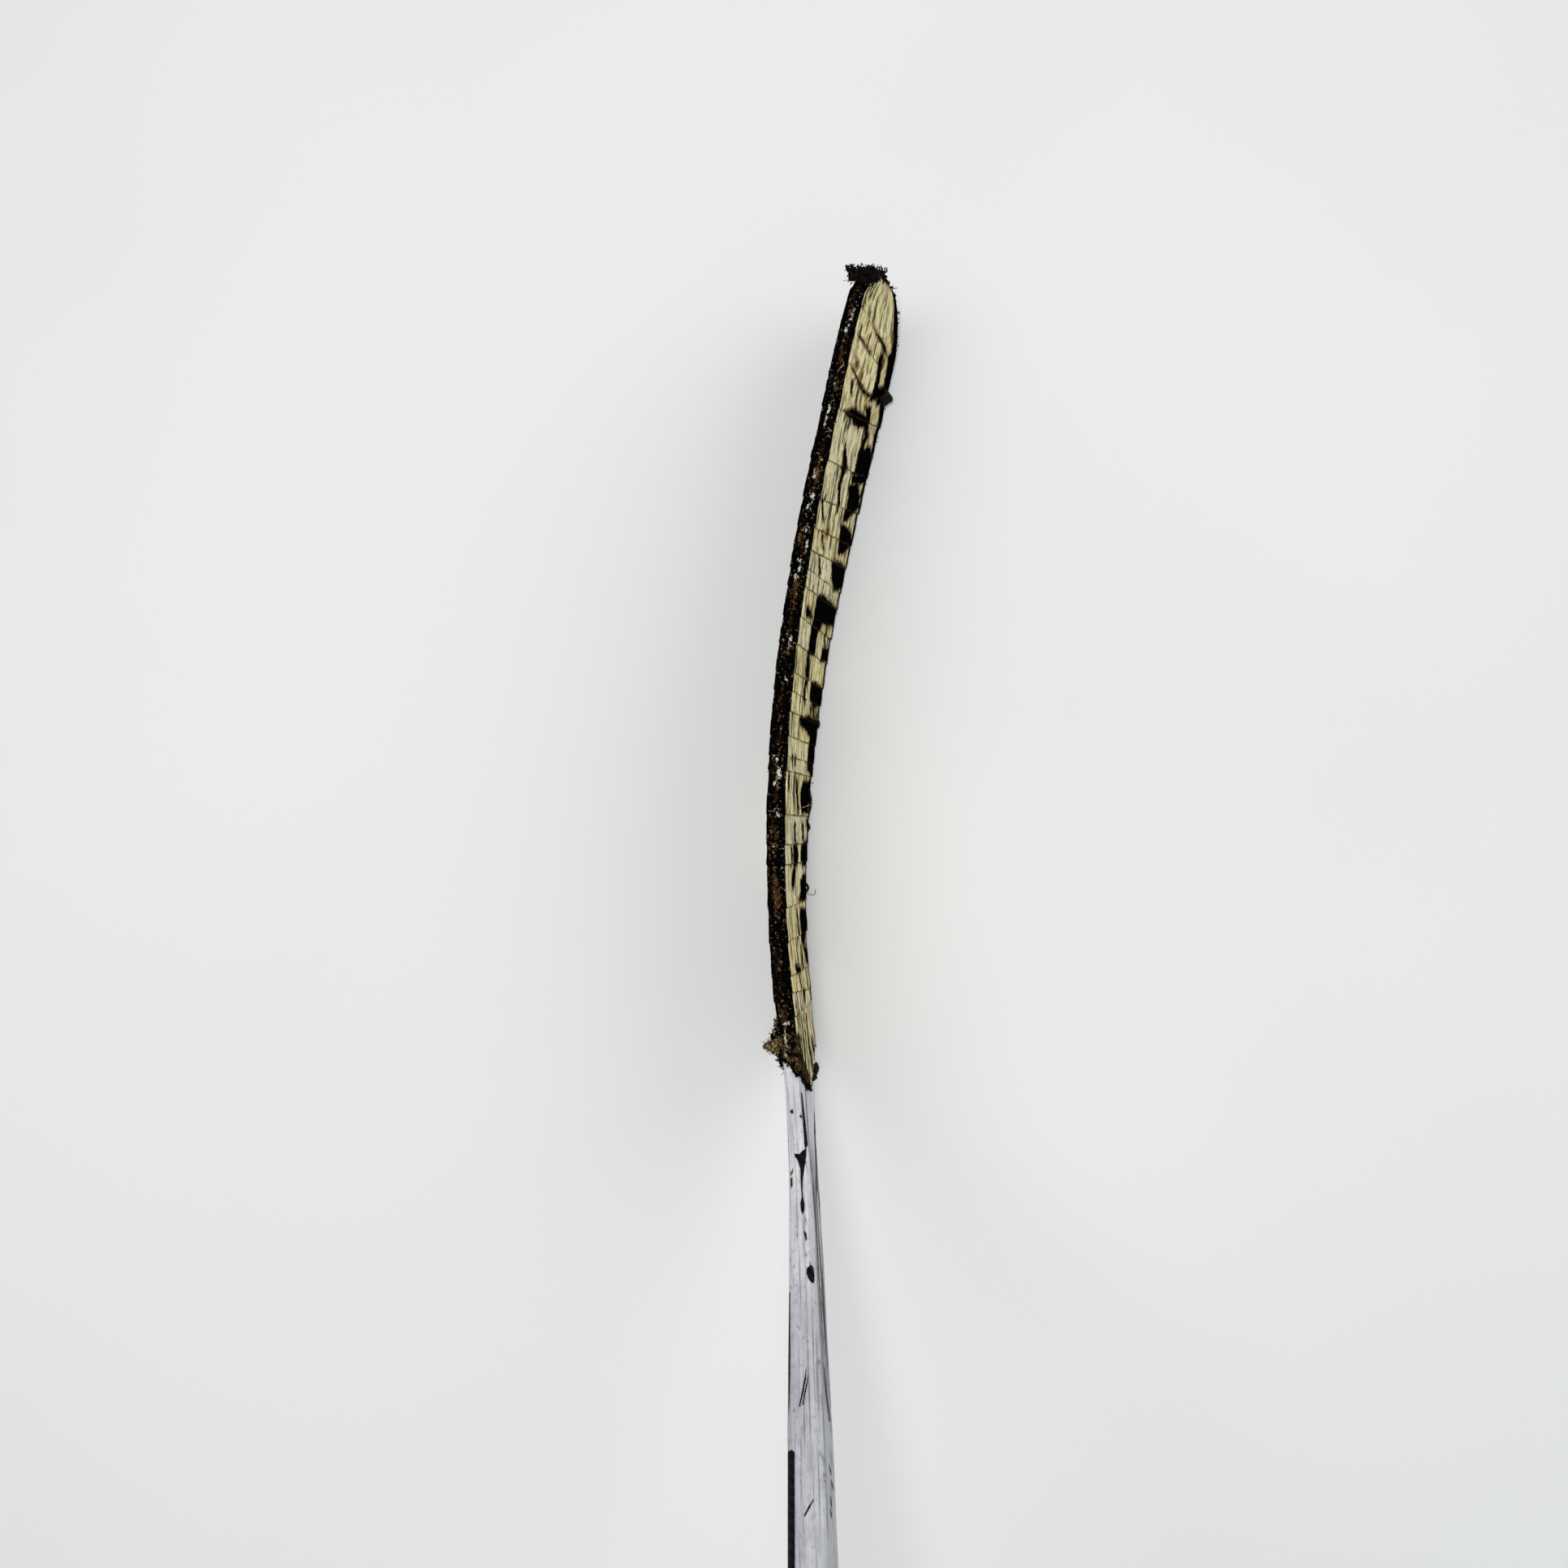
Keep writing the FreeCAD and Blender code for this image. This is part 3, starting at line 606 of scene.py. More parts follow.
# ---- painted heel, neck and shaft ----
HEEL_TOP = smooth_line(((14.0, 74.75),) + TOP_EDGE[8:], 110)
SOLE_RUN = np.array(((14.0, 0.0),) + HEEL_ARC[::-1] + (NECK_OUTER,))


def along_line(points, fractions):
    length = run_length(points)
    at = fractions * length[-1]
    return np.stack([np.interp(at, length, points[:, 0]), np.interp(at, length, points[:, 1])], -1)


heel_part = np.concatenate([np.linspace(0, 0.2, 10), np.linspace(0.207, 1.0, 120)])
# stations up the shaft, closest where the photo shows the paint
shaft_s = np.concatenate([np.arange(112.6, 261.7, 0.6), np.arange(263.0, 429.0, 3.0),
                          np.linspace(430.0, SHAFT_END, 90)])
far_run = np.stack([-shaft_s, shaft_s], -1) * HALF_ROOT
near_run = far_run + SHAFT_DEPTH * HALF_ROOT
near_xz = np.concatenate([along_line(HEEL_TOP, heel_part), near_run])
far_xz = np.concatenate([along_line(SOLE_RUN, heel_part), far_run])


def corner_rows(degrees, share, side, panel):
    """Round one corner of the shaft: share, shift, side, tuck, panel."""
    sign = 1 - 2 * share
    return [(share, sign * (1 - math.sin(a)), side, -side * (1 - math.cos(a)), panel)
            for a in np.radians(degrees)]


# Panels: 0 forehand side, 1 outer face, 2 backhand side, 3 inner face. Rows that
# have no tuck lie on a flat between two corners.
spec = ([(f, 1 - 2 * f, -1.0, 0.0, 0) for f in np.linspace(0, 1, 48)]
        + corner_rows(ARC, 1.0, -1.0, 1)
        + [(1.0, 0.0, k, None, 1) for k in np.linspace(-0.8, 0.8, 7)]
        + corner_rows(ARC[::-1], 1.0, 1.0, 1)
        + [(f, 1 - 2 * f, 1.0, 0.0, 2) for f in np.linspace(1, 0, 30)]
        + corner_rows(ARC, 0.0, 1.0, 3)
        + [(0.0, 0.0, k, None, 3) for k in np.linspace(0.95, -0.95, 39)]
        + corner_rows(ARC[::-1], 0.0, -1.0, 3))
flat = np.array([row[3] is None for row in spec])
share, shift, side, tuck, panel = np.array([row[:3] + (row[3] or 0.0, row[4]) for row in spec]).T

axis = unit(far_xz - near_xz)
s_near = (-near_xz[:, 0] + near_xz[:, 1]) * HALF_ROOT
s_far = (-far_xz[:, 0] + far_xz[:, 1]) * HALF_ROOT
radius = np.where(share < 0.5, shaft_corner(s_near)[:, None], shaft_corner(s_far)[:, None])
xz = (near_xz[:, None] * (1 - share)[None, :, None] + far_xz[:, None] * share[None, :, None]
      + axis[:, None] * (radius * shift)[..., None])
s_point = (-xz[..., 0] + xz[..., 1]) * HALF_ROOT
half_w = shaft_width(s_point) / 2
across_y = np.where(flat, side * (half_w - radius),
                    side * half_w + tuck * radius)
inward = (xz[..., 0] + xz[..., 1]) * HALF_ROOT

# Chips down to the black carbon on the inner face: outlines, s and y in turn.
CHIPS = (
    (86.6, 1.4, 86.9, -0.4, 85.2, -2.6, 83.9, -3.35, 87.5, -3, 91.5, -2.2, 96, -1.35, 100, -1,
     103.5, -1.15, 105.8, -1.6, 108.4, -1.4, 110, -0.75, 108.2, -0.1, 105.4, 0.05, 103, -0.6,
     99.8, -0.45, 96, -0.4, 92.5, -0.5, 89.3, 0.2, 87.8, 1.2),
    (66.6, -2.75, 70, -2.7, 76.4, -2.6, 83.7, -2.5, 85.6, -2.6, 83.7, -3.9, 76, -3.75,
     67, -3.4),
    (89.8, -3.15, 93, -3.05, 98, -3.3, 97, -3.5, 93, -3.4, 89.8, -3.4),
    (116, -1, 118, -1.1, 120.8, -1.6, 120.2, -2.1, 117.6, -1.9),
    (128.6, -2.5, 130.4, -2.9, 131.4, -1.7, 133.4, -1.5, 135.6, -2.2, 137.6, -3.4, 137, -4.1,
     134.4, -4.3, 131.4, -4.1, 129.6, -3.4),
    (71.6, 0.7, 72.9, 0.6, 73.2, 1.6, 72, 1.9),
    (73.7, -2.3, 74.7, -2.3, 74.7, -1.5, 73.8, -1.5),
    (91.6, 2, 93.6, 2.3, 94.8, 3.3, 93, 3.2),
    (94.9, 2.4, 98.8, 2.6, 98.8, 3.5, 95.2, 3.4),
    (110.2, -1.5, 112.2, -1.55, 114.6, -1.85, 114.6, -2.05, 112, -1.8),
    (111.2, 3, 111.8, 3, 111.8, 3.4, 111.2, 3.4),
    (181.8, 1.9, 176.5, 0.8, 171.5, -0.3, 167.5, -1, 172, -0.8, 177, 0.25, 181.6, 1.35),
    (181.2, 0.85, 175.5, -0.35, 170.2, -1.5, 172, -1.45, 176, -0.8, 181.2, 0.4),
    (217.2, 1, 214.6, -0.4, 212, -2.2, 212, -2.6, 215, -1, 217.4, 0.5),
    (139, 4.4, 150, 4.5, 165, 4.6, 180, 5, 184.8, 5.4, 180, 5.6, 165, 5.6, 150, 5.4, 139, 5.2),
    (205.5, -5.6, 206.4, -5.7, 206.4, -6.2, 205.5, -6.2),
)
# The same on the forehand side: s and inward distance in turn.
SIDE_CHIPS = (
    (162.5, 21, 168, 21, 173.8, 19.5, 179.5, 13.5, 177, 7.5, 172, 11, 168, 14, 163, 17),
    (195.8, 12.5, 198.2, 12.5, 198.2, 18.5, 195.8, 18.5),
    (199.2, 8.5, 201.2, 8.5, 201.2, 14.5, 199.2, 14.5),
    (206.4, 14.5, 209.8, 15.2, 209.8, 19.6, 206.4, 19),
    (210.8, 16, 213.6, 16.6, 213.6, 21, 210.8, 20.4),
)
# Long dark lines in the forehand side's paint, as (s, inward distance), and
# their half widths.
SIDE_LINES = (
    (((44.0, 30.0), (60.0, 30.5), (72.0, 31.6), (85.0, 30.6)), 1.3),
    (((42.0, 4.6), (59.6, 4.2), (72.2, 6.9), (83.7, 9.9), (98.3, 16.3)), 3.4),
    (((82.0, 3.7), (92.6, 5.3), (102.0, 6.4)), 1.3),
    (((84.0, 27.0), (104.5, 24.4), (116.0, 22.6), (137.0, 20.0), (160.0, 13.0)), 1.8),
    (((108.0, 12.8), (116.3, 12.4), (127.6, 10.3), (139.4, 9.6), (160.0, 6.0)), 2.0),
    (((130.0, 15.2), (147.1, 9.8), (158.0, 7.0)), 2.4),
    (((70.0, 20.0), (100.0, 18.4), (140.0, 14.0)), 0.8),
    (((158.0, 9.0), (161.4, 7.5), (168.6, 4.6), (176.0, 2.6)), 0.7),
)
STRIPE_START = 195.4                    # black stripe along the backhand-side corner
STRIPE_REACH = 2.85
STRIPE_ROUND = 1.6
SMUDGES = ((118.0, 1.7, 2.2, 1.0), (126.1, -1.6, 2.0, 1.2), (130.3, 2.6, 1.4, 1.0),
           (133.4, 1.8, 1.2, 1.3), (143.8, -2.6, 1.6, 0.7), (159.0, -1.6, 1.5, 1.1),
           (165.8, -4.8, 2.2, 1.3), (154.0, 1.2, 1.5, 0.8), (178.0, -5.6, 4.0, 0.8),
           (190.5, -3.7, 1.6, 0.9), (182.6, 3.6, 2.0, 0.8), (197.5, -4.4, 2.6, 1.2),
           (199.0, -5.8, 4.0, 1.0), (204.0, -5.8, 2.0, 1.0))
SIDE_SMUDGES = ((191.2, 12.0, 6.0, 8.0), (203.0, 15.0, 6.0, 7.0), (179.5, 9.0, 5.0, 6.0),
                (152.0, 22.0, 6.0, 4.0), (131.0, 25.0, 4.0, 4.0))
on_inner, on_side = panel == 3, panel == 0
ring_s = np.repeat(s_near[:, None], len(spec), 1)
FAR = -9.0                              # clear of every chip and line
chip = np.full(xz.shape[:2], FAR)
for panel_on, outlines, first, second in ((on_inner, CHIPS, ring_s, across_y),
                                          (on_side, SIDE_CHIPS, s_point, inward)):
    cols = np.nonzero(panel_on)[0]
    for outline in outlines:
        gap = polygon_gap(first[:, cols], second[:, cols], outline)
        chip[:, cols] = np.maximum(chip[:, cols], gap)
cols = np.nonzero(on_side)[0]
side_s, side_in = s_point[:, cols], inward[:, cols]
for line, half_line in SIDE_LINES:
    first, last = line[0][0], line[-1][0]
    reach = np.minimum(side_s - first, last - side_s)
    thin = half_line * np.clip(reach / (0.28 * (last - first)), 0.0, 1.0)
    gap = thin - np.abs(side_in - look_up(line, side_s)) - 0.12
    chip[:, cols] = np.maximum(chip[:, cols], np.where(reach > 0, gap, FAR))
past_side = np.maximum(across_y - half_w + STRIPE_REACH, FAR)
past_start = ring_s - STRIPE_START
stripe = np.where((past_side < STRIPE_ROUND) & (past_start < STRIPE_ROUND),
                  STRIPE_ROUND - np.hypot(STRIPE_ROUND - past_side, STRIPE_ROUND - past_start),
                  np.minimum(past_side, past_start))
stripe = np.where(panel == 2, np.minimum(inward - 25.2, past_start), stripe)
stripe = np.where(on_side | (panel == 1), FAR, stripe)
chip = np.maximum(chip, stripe)
smudge = np.zeros_like(chip)
for panel_on, marks, first, second in ((on_inner, SMUDGES, ring_s, across_y),
                                       (on_side, SIDE_SMUDGES, s_point, inward)):
    for s0, v0, rs, rv in marks:
        spread = 1 - np.hypot((first - s0) / rs, (second - v0) / rv)
        smudge = np.maximum(smudge, panel_on * spread)
smudge = np.clip(smudge, 0, 1)

SINK, SWELL = 0.14, 0.05                # depth of a chip, slow unevenness of the paint
recess = SINK * fade(chip, -0.1, 0.15) * (stripe < 0)
recess += SWELL * (patchy(s_point * 0.06, np.arange(1, len(spec) + 1)[None] * 0.12, 41) - 0.5)
lift_xz = -axis[:, None] * (on_inner * recess)[..., None]
side_sign = np.where(on_side, -1.0, np.where(panel == 2, 1.0, 0.0))
across_out = across_y - side_sign * recess
points = np.stack([xz[..., 0] + lift_xz[..., 0], across_out, xz[..., 1] + lift_xz[..., 1]], -1)
face_v = np.where(on_inner, across_y, np.where(on_side, -30.0 + inward, 60.0 + inward))
face_v = np.where((panel == 1), 120.0 + across_y, face_v)
shaft_mesh = ring_mesh("painted_shaft", points, {
    "spot": np.stack([s_point, face_v, np.broadcast_to(panel * 20.0, face_v.shape)], -1),
    "chip": chip, "smudge": smudge,
    "neck": on_side * fade(s_point, 62.0, 92.0) * (1 - fade(s_point, 150.0, 190.0)),
    # painted shade: the paint is darkened from s = 96 to 165 mm
    "painted_shade": fade(s_point, 96.0, 165.0),
    "corner": np.where(on_inner, fade(np.abs(across_y) / half_w, 0.7, 1.0), 0.0)})


# ---- node materials ----
def srgb(red, green, blue):
    def linear(c):
        c /= 255.0
        return c / 12.92 if c <= 0.04045 else ((c + 0.055) / 1.055) ** 2.4
    return (linear(red), linear(green), linear(blue), 1.0)


WAVE_UNIT = 0.31416                     # wave texture scale that gives a band a unit


class Shade:
    """One node material, built with short calls."""

    def __init__(self, name, roughness=0.6, specular=0.4, sheen=0.0):
        self.material = bpy.data.materials.new(name)
        self.material.use_nodes = True
        self.tree = self.material.node_tree
        self.shader = next(n for n in self.tree.nodes if n.type == "BSDF_PRINCIPLED")
        for key, value in (("Roughness", roughness), ("Specular IOR Level", specular),
                           ("Sheen Weight", sheen)):
            self.shader.inputs[key].default_value = value

    def node(self, kind, inputs, output=0, **values):
        """Add a node, feed its inputs and give back one of its outputs."""
        node = self.tree.nodes.new("ShaderNode" + kind)
        for key, value in values.items():
            setattr(node, key, value)
        for key, value in inputs.items():
            self.feed(node.inputs[key], value)
        return node.outputs[output]

    def feed(self, socket, value):
        if isinstance(value, bpy.types.NodeSocket):
            self.tree.links.new(value, socket)
        else:
            socket.default_value = value

    def attribute(self, name):
        return self.node("Attribute", {}, "Fac", attribute_name=name)

    def spot(self):
        """Where a point is on the piece: along, across and layer, in mm."""
        return self.node("Attribute", {}, "Vector", attribute_name="spot")

    def place(self):
        return self.node("TexCoord", {}, "Object")

    def millimetres(self):
        return self.stretch(self.place(), (1000.0, 1000.0, 1000.0))

    def stretch(self, vector, scale):
        return self.node("VectorMath", {0: vector, 1: scale}, operation="MULTIPLY")

    def math(self, operation, a, b=0.0):
        return self.node("Math", {0: a, 1: b}, operation=operation)

    def add(self, a, b):
        return self.math("ADD", a, b)

    def times(self, a, b):
        return self.math("MULTIPLY", a, b)

    def swing(self, value, amount):
        """Noise swung about zero instead of about a half."""
        return self.times(self.math("SUBTRACT", value, 0.5), amount)

    def noise(self, vector, scale, detail, roughness=0.55, distortion=0.0):
        return self.node("TexNoise", {"Vector": vector, "Scale": scale, "Detail": detail,
                                      "Roughness": roughness, "Distortion": distortion})

    def grain(self, vector, scale, *rest):
        """Noise on stretched coordinates."""
        return self.noise(self.stretch(vector, scale), 1.0, *rest)

    def cells(self, vector, scale):
        return self.node("TexVoronoi", {"Vector": vector, "Scale": scale}, "Distance")

    def threads(self, vector, pitch, axis="X", distortion=0.0):
        """Bands, one a pitch."""
        inputs = {"Vector": vector, "Scale": WAVE_UNIT / pitch, "Distortion": distortion}
        return self.node("TexWave", inputs, "Fac", wave_type="BANDS", bands_direction=axis)

    def ramp(self, value, low, high, start=0.0, stop=1.0):
        return self.node("MapRange", {"Value": value, "From Min": low, "From Max": high,
                                      "To Min": start, "To Max": stop},
                         interpolation_type="SMOOTHSTEP")

    def mix(self, factor, first, second, blend="MIX"):
        return self.node("Mix", {0: factor, 6: first, 7: second}, 2,
                         data_type="RGBA", blend_type=blend)

    def layers(self, colour, *rows):
        """Lay colours over one another: value, its ramp's ends, strength, colour."""
        for value, low, high, strength, top in rows:
            colour = self.mix(self.ramp(value, low, high, 0.0, strength), colour, srgb(*top))
        return colour

    def bump(self, height, distance, strength):
        normal = self.node("Bump", {"Height": height, "Distance": distance * MM,
                                    "Strength": strength})
        self.feed(self.shader.inputs["Normal"], normal)

    def colour(self, value):
        self.feed(self.shader.inputs["Base Color"], value)

    def rough(self, value):
        self.feed(self.shader.inputs["Roughness"], value)


def worn_tape():
    """Friction tape over the blade: pale worn cloth, black left in patches."""
    m = Shade("worn_cloth_tape", specular=0.0)
    spot = m.spot()
    band, lap = m.attribute("band"), m.attribute("lap")
    edge, heel = m.attribute("edge"), m.attribute("heel")
    broad = m.grain(spot, (0.05, 0.09, 1.0), 3.0)
    streak = m.grain(spot, (0.09, 0.66, 1.0), 4.0, 0.65, 0.1)
    fine = m.grain(spot, (1.3, 1.9, 1.0), 4.0, 0.7)
    ragged = m.grain(spot, (0.32, 0.55, 1.0), 3.0, 0.6)
    weave = m.times(m.threads(spot, 0.5, "X", 0.6), m.threads(spot, 0.5, "Y", 0.6))

    cream = m.mix(m.ramp(broad, 0.36, 0.66), srgb(238, 225, 168), srgb(217, 203, 142))
    cream = m.layers(cream, (band, 0.45, 1.0, 0.65, (222, 216, 186)))
    olive = m.grain(spot, (0.16, 0.3, 1.7), 3.0, 0.6)
    cream = m.layers(cream, (olive, 0.5, 0.68, 0.8, (148, 130, 64)),
                     (streak, 0.535, 0.64, 0.85, (70, 57, 26)),
                     (streak, 0.46, 0.32, 0.85, (250, 243, 208)),
                     (fine, 0.5, 0.72, 0.6, (112, 98, 62)))
    lined = m.grain(spot, (0.045, 0.5, 1.7), 3.0, 0.6)
    along = m.node("SeparateXYZ", {0: spot}, "X")
    # the toe is smoother than the rest of the blade
    scored = m.math("MAXIMUM", m.ramp(olive, 0.4, 0.5, 0.1, 1.0),
                    m.ramp(along, 252.0, 225.0, 0.0, 0.95))
    grouped = m.times(m.ramp(lined, 0.55, 0.585, 0.0, 0.97), scored)
    cream = m.mix(grouped, cream, srgb(24, 19, 12))
    stain = m.add(m.attribute("stain"), m.times(ragged, 0.5))
    cream = m.layers(cream, (stain, 0.4, 0.75, 0.8, (128, 102, 34)),
                     (stain, 0.72, 1.05, 0.95, (58, 20, 10)),
                     (weave, 0.0, 1.0, 0.22, (236, 228, 200)))

    wobble = m.add(m.swing(ragged, 5.0), m.swing(fine, 3.4))
    level = m.add(m.attribute("black"), wobble)
    rim = m.ramp(level, -1.9, -0.1, 0.0, 0.75)
    colour = m.mix(rim, cream, srgb(84, 60, 30))
    dark = m.mix(m.ramp(fine, 0.5, 0.8), srgb(5, 4, 4), srgb(24, 18, 14))
    black = m.ramp(level, -0.35, 0.25)
    colour = m.mix(black, colour, dark)

    # dark lines along each wrap's edge: painted shade at the tape's step, mixed with grime
    lap_size = m.math("ABSOLUTE", lap)
    step_shade_and_grime = m.times(m.ramp(lap_size, 0.55, 0.12),
                   m.ramp(m.grain(spot, (0.2, 0.12, 1.0), 2.0), 0.42, 0.58, 0.1, 0.95))
    colour = m.mix(step_shade_and_grime, colour, srgb(44, 36, 20))

    # top edge: black with brown and frayed pale bits
    speck = m.grain(spot, (0.65, 1.0, 1.0), 5.0, 0.85)
    where = m.grain(spot, (0.06, 0.3, 1.0), 2.0)
    worn = m.add(m.times(m.attribute("rim"), 0.12), m.add(speck, m.swing(where, 0.5)))
    edge_colour = m.mix(m.ramp(worn, 0.61, 0.72), srgb(5, 4, 4), srgb(82, 58, 32))
    pale = m.add(m.times(m.attribute("fray"), 0.62), m.swing(speck, 3.6))
    edge_colour = m.layers(edge_colour, (pale, 0.42, 0.58, 1.0, (218, 211, 192)))
    colour = m.mix(edge, colour, edge_colour)

    # heel: dark, mesh-like brown cloth
    mesh = m.add(m.times(weave, 0.7), m.times(fine, 0.8))
    dots = m.cells(m.stretch(spot, (1.5, 1.5, 1.0)), 1.0)
    mesh = m.math("SUBTRACT", m.add(mesh, m.times(dots, 0.5)),
                  m.ramp(ragged, 0.46, 0.58, 0.0, 0.8))
    heel_colour = m.mix(m.ramp(mesh, 0.72, 1.02), srgb(9, 7, 5), srgb(112, 90, 54))
    heel_mask = m.ramp(m.add(heel, m.swing(ragged, 0.7)), 0.4, 0.62)
    heel_colour = m.layers(heel_colour, (pale, 0.4, 0.6, 1.0, (216, 208, 188)))
    colour = m.mix(heel_mask, colour, heel_colour)
    start = m.add(heel, m.swing(ragged, 1.6))
    colour = m.layers(colour, (start, 1.28, 1.42, 1.0, (8, 6, 5)))
    m.colour(colour)
    m.rough(m.ramp(fine, 0.2, 0.8, 0.72, 0.95))
    relief = m.add(m.times(weave, 0.5), m.times(fine, 0.9))
    m.bump(m.add(relief, m.times(black, 0.5)), 0.16, 0.8)
    return m.material


def shaft_paint():
    """Scuffed pale grey paint, chipped down to black carbon."""
    m = Shade("scuffed_pale_paint", specular=0.03)
    spot = m.spot()
    broad = m.grain(spot, (0.05, 0.15, 1.0), 4.0)
    lines = m.grain(spot, (0.02, 1.1, 1.0), 4.0, 0.65)
    speckle = m.grain(spot, (0.5, 0.8, 1.0), 5.0, 0.75)
    grit = m.grain(spot, (1.6, 2.2, 1.0), 3.0, 0.6)
    paint = m.mix(m.ramp(broad, 0.35, 0.68), srgb(214, 215, 217), srgb(194, 195, 199))
    blotch = m.grain(spot, (0.22, 0.34, 1.0), 4.0, 0.6)
    paint = m.layers(paint, (blotch, 0.5, 0.68, 0.5, (166, 167, 172)),
                     (lines, 0.53, 0.63, 0.8, (132, 133, 139)),
                     (lines, 0.44, 0.3, 0.6, (240, 241, 243)),
                     (speckle, 0.57, 0.67, 0.7, (124, 125, 131)))
    grooves = m.grain(spot, (0.012, 0.32, 1.0), 3.0, 0.7)
    grooved = m.times(m.attribute("neck"), m.ramp(grooves, 0.43, 0.53))
    paint = m.mix(grooved, paint, srgb(74, 74, 78))
    # painted shade: darker paint further up the shaft
    paint = m.mix(m.attribute("painted_shade"), paint, srgb(226, 226, 229), "MULTIPLY")
    rubbed = m.add(m.attribute("smudge"), m.swing(speckle, 1.4))
    paint = m.layers(paint, (rubbed, 0.38, 0.85, 0.6, (96, 96, 106)))
    worn = m.times(m.attribute("corner"), lines)
    paint = m.layers(paint, (worn, 0.3, 0.6, 0.45, (140, 142, 152)))
    level = m.add(m.attribute("chip"), m.swing(grit, 0.5))
    bare = m.ramp(level, -0.06, 0.1)
    tow = m.threads(spot, 1.9, "DIAGONAL")
    carbon = m.mix(tow, srgb(12, 12, 14), srgb(24, 25, 28))
    halo = m.ramp(level, -0.55, -0.05, 0.0, 0.25)
    colour = m.mix(halo, paint, srgb(120, 120, 128))
    m.colour(m.mix(bare, colour, carbon))
    m.rough(m.ramp(speckle, 0.3, 0.75, 0.34, 0.6))
    m.bump(m.add(m.times(lines, 0.6), m.times(grit, 0.35)), 0.05, 0.5)
    return m.material


def carbon_laminate(name, base, glint, roughness):
    """Diagonal carbon cloth, dulled in patches."""
    m = Shade(name, roughness=roughness, specular=0.5)
    spot = m.millimetres()
    tow = m.threads(spot, 2.0, "DIAGONAL", 0.4)
    cloud = m.noise(spot, 0.12, 3.0)
    colour = m.mix(tow, base, glint)
    m.colour(m.mix(m.ramp(cloud, 0.4, 0.7, 0.0, 0.5), colour, base))
    m.bump(tow, 0.08, 0.6)
    m.rough(m.ramp(cloud, 0.3, 0.7, roughness - 0.08, roughness + 0.1))
    return m.material


def foam(name, base, pore):
    """Rigid core foam with open pores."""
    m = Shade(name, roughness=0.9, specular=0.2)
    spot = m.millimetres()
    cell = m.cells(spot, 1.4)
    cloud = m.noise(spot, 0.3, 3.0)
    colour = m.mix(m.ramp(cell, 0.0, 0.6), pore, base)
    m.colour(m.mix(m.ramp(cloud, 0.4, 0.75, 0.0, 0.4), colour, pore))
    m.rough(m.ramp(cell, 0.0, 0.8, 0.95, 0.8))
    m.bump(cell, 0.2, 0.7)
    return m.material


def plain_tape(name, base, worn, dust):
    """Black cloth tape in one piece's own coordinates, in mm."""
    m = Shade(name, specular=0.25)
    spot = m.spot()
    weave = m.times(m.threads(spot, 0.55, "X", 0.5), m.threads(spot, 0.55, "Y", 0.5))
    fine = m.grain(spot, (1.2, 1.2, 1.2), 4.0, 0.7)
    cloud = m.grain(spot, (0.08, 0.12, 0.1), 3.0)
    colour = m.mix(m.ramp(cloud, 0.42, 0.7), base, worn)
    lap = m.ramp(m.math("ABSOLUTE", m.attribute("lap")), 0.8, 0.2, 0.0, 0.8)
    colour = m.mix(lap, colour, dust)
    colour = m.mix(m.ramp(fine, 0.55, 0.8, 0.0, 0.5), colour, dust)
    colour = m.mix(m.ramp(weave, 0.2, 1.0, 0.0, 0.3), colour, worn)
    m.colour(colour)
    m.rough(m.ramp(fine, 0.2, 0.8, 0.7, 0.95))
    m.bump(m.add(weave, m.times(fine, 0.6)), 0.16, 0.8)
    return m.material


def fibres(name, base, light):
    """Loose cotton, lighter in places."""
    m = Shade(name, roughness=0.85, specular=0.0, sheen=0.04)
    spot = m.millimetres()
    tint = m.noise(spot, 0.9, 2.0)
    m.colour(m.mix(m.ramp(tint, 0.42, 0.68), base, light))
    m.rough(m.ramp(tint, 0.3, 0.7, 0.75, 0.95))
    m.bump(m.noise(spot, 6.0, 2.0), 0.05, 0.6)
    return m.material


def moulded_plastic():
    m = Shade("moulded_black_plastic", roughness=0.45, specular=0.5)
    spot = m.millimetres()
    grain = m.noise(spot, 2.2, 4.0, 0.6)
    cloud = m.noise(spot, 0.15, 2.0)
    m.colour(m.mix(m.ramp(cloud, 0.4, 0.7), srgb(20, 20, 21), srgb(34, 34, 36)))
    m.rough(m.ramp(grain, 0.3, 0.7, 0.36, 0.6))
    m.bump(grain, 0.06, 0.6)
    return m.material


BLACK_CLOTH = fibres("frayed_black_cotton", srgb(6, 5, 5), srgb(38, 29, 23))
PALE_CLOTH = fibres("frayed_pale_cotton", srgb(120, 104, 74), srgb(206, 196, 166))
wrap = finish_piece(wrap_mesh, worn_tape())
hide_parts("blade_tape", "toe_tape")
painted = finish_piece(shaft_mesh, shaft_paint())
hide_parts("shaft_tube", "heel_block")


# ---- loose threads and torn tape ----
THREAD_SIDES = 5


def tube_points(path, radius):
    """Rings of a thin round tube along a path, in mm."""
    path = np.asarray(path, float)
    tangent = np.gradient(path, axis=0)
    tangent /= np.linalg.norm(tangent, axis=1)[:, None] + 1e-9
    guide = np.array([0.31, 0.77, 0.55])
    first = np.cross(tangent, guide)
    first /= np.linalg.norm(first, axis=1)[:, None] + 1e-9
    second = np.cross(tangent, first)
    turns = [2 * math.pi * k / THREAD_SIDES for k in range(THREAD_SIDES)]
    return np.stack([path + (first * math.cos(a) + second * math.sin(a)) * radius
                     for a in turns], 1)


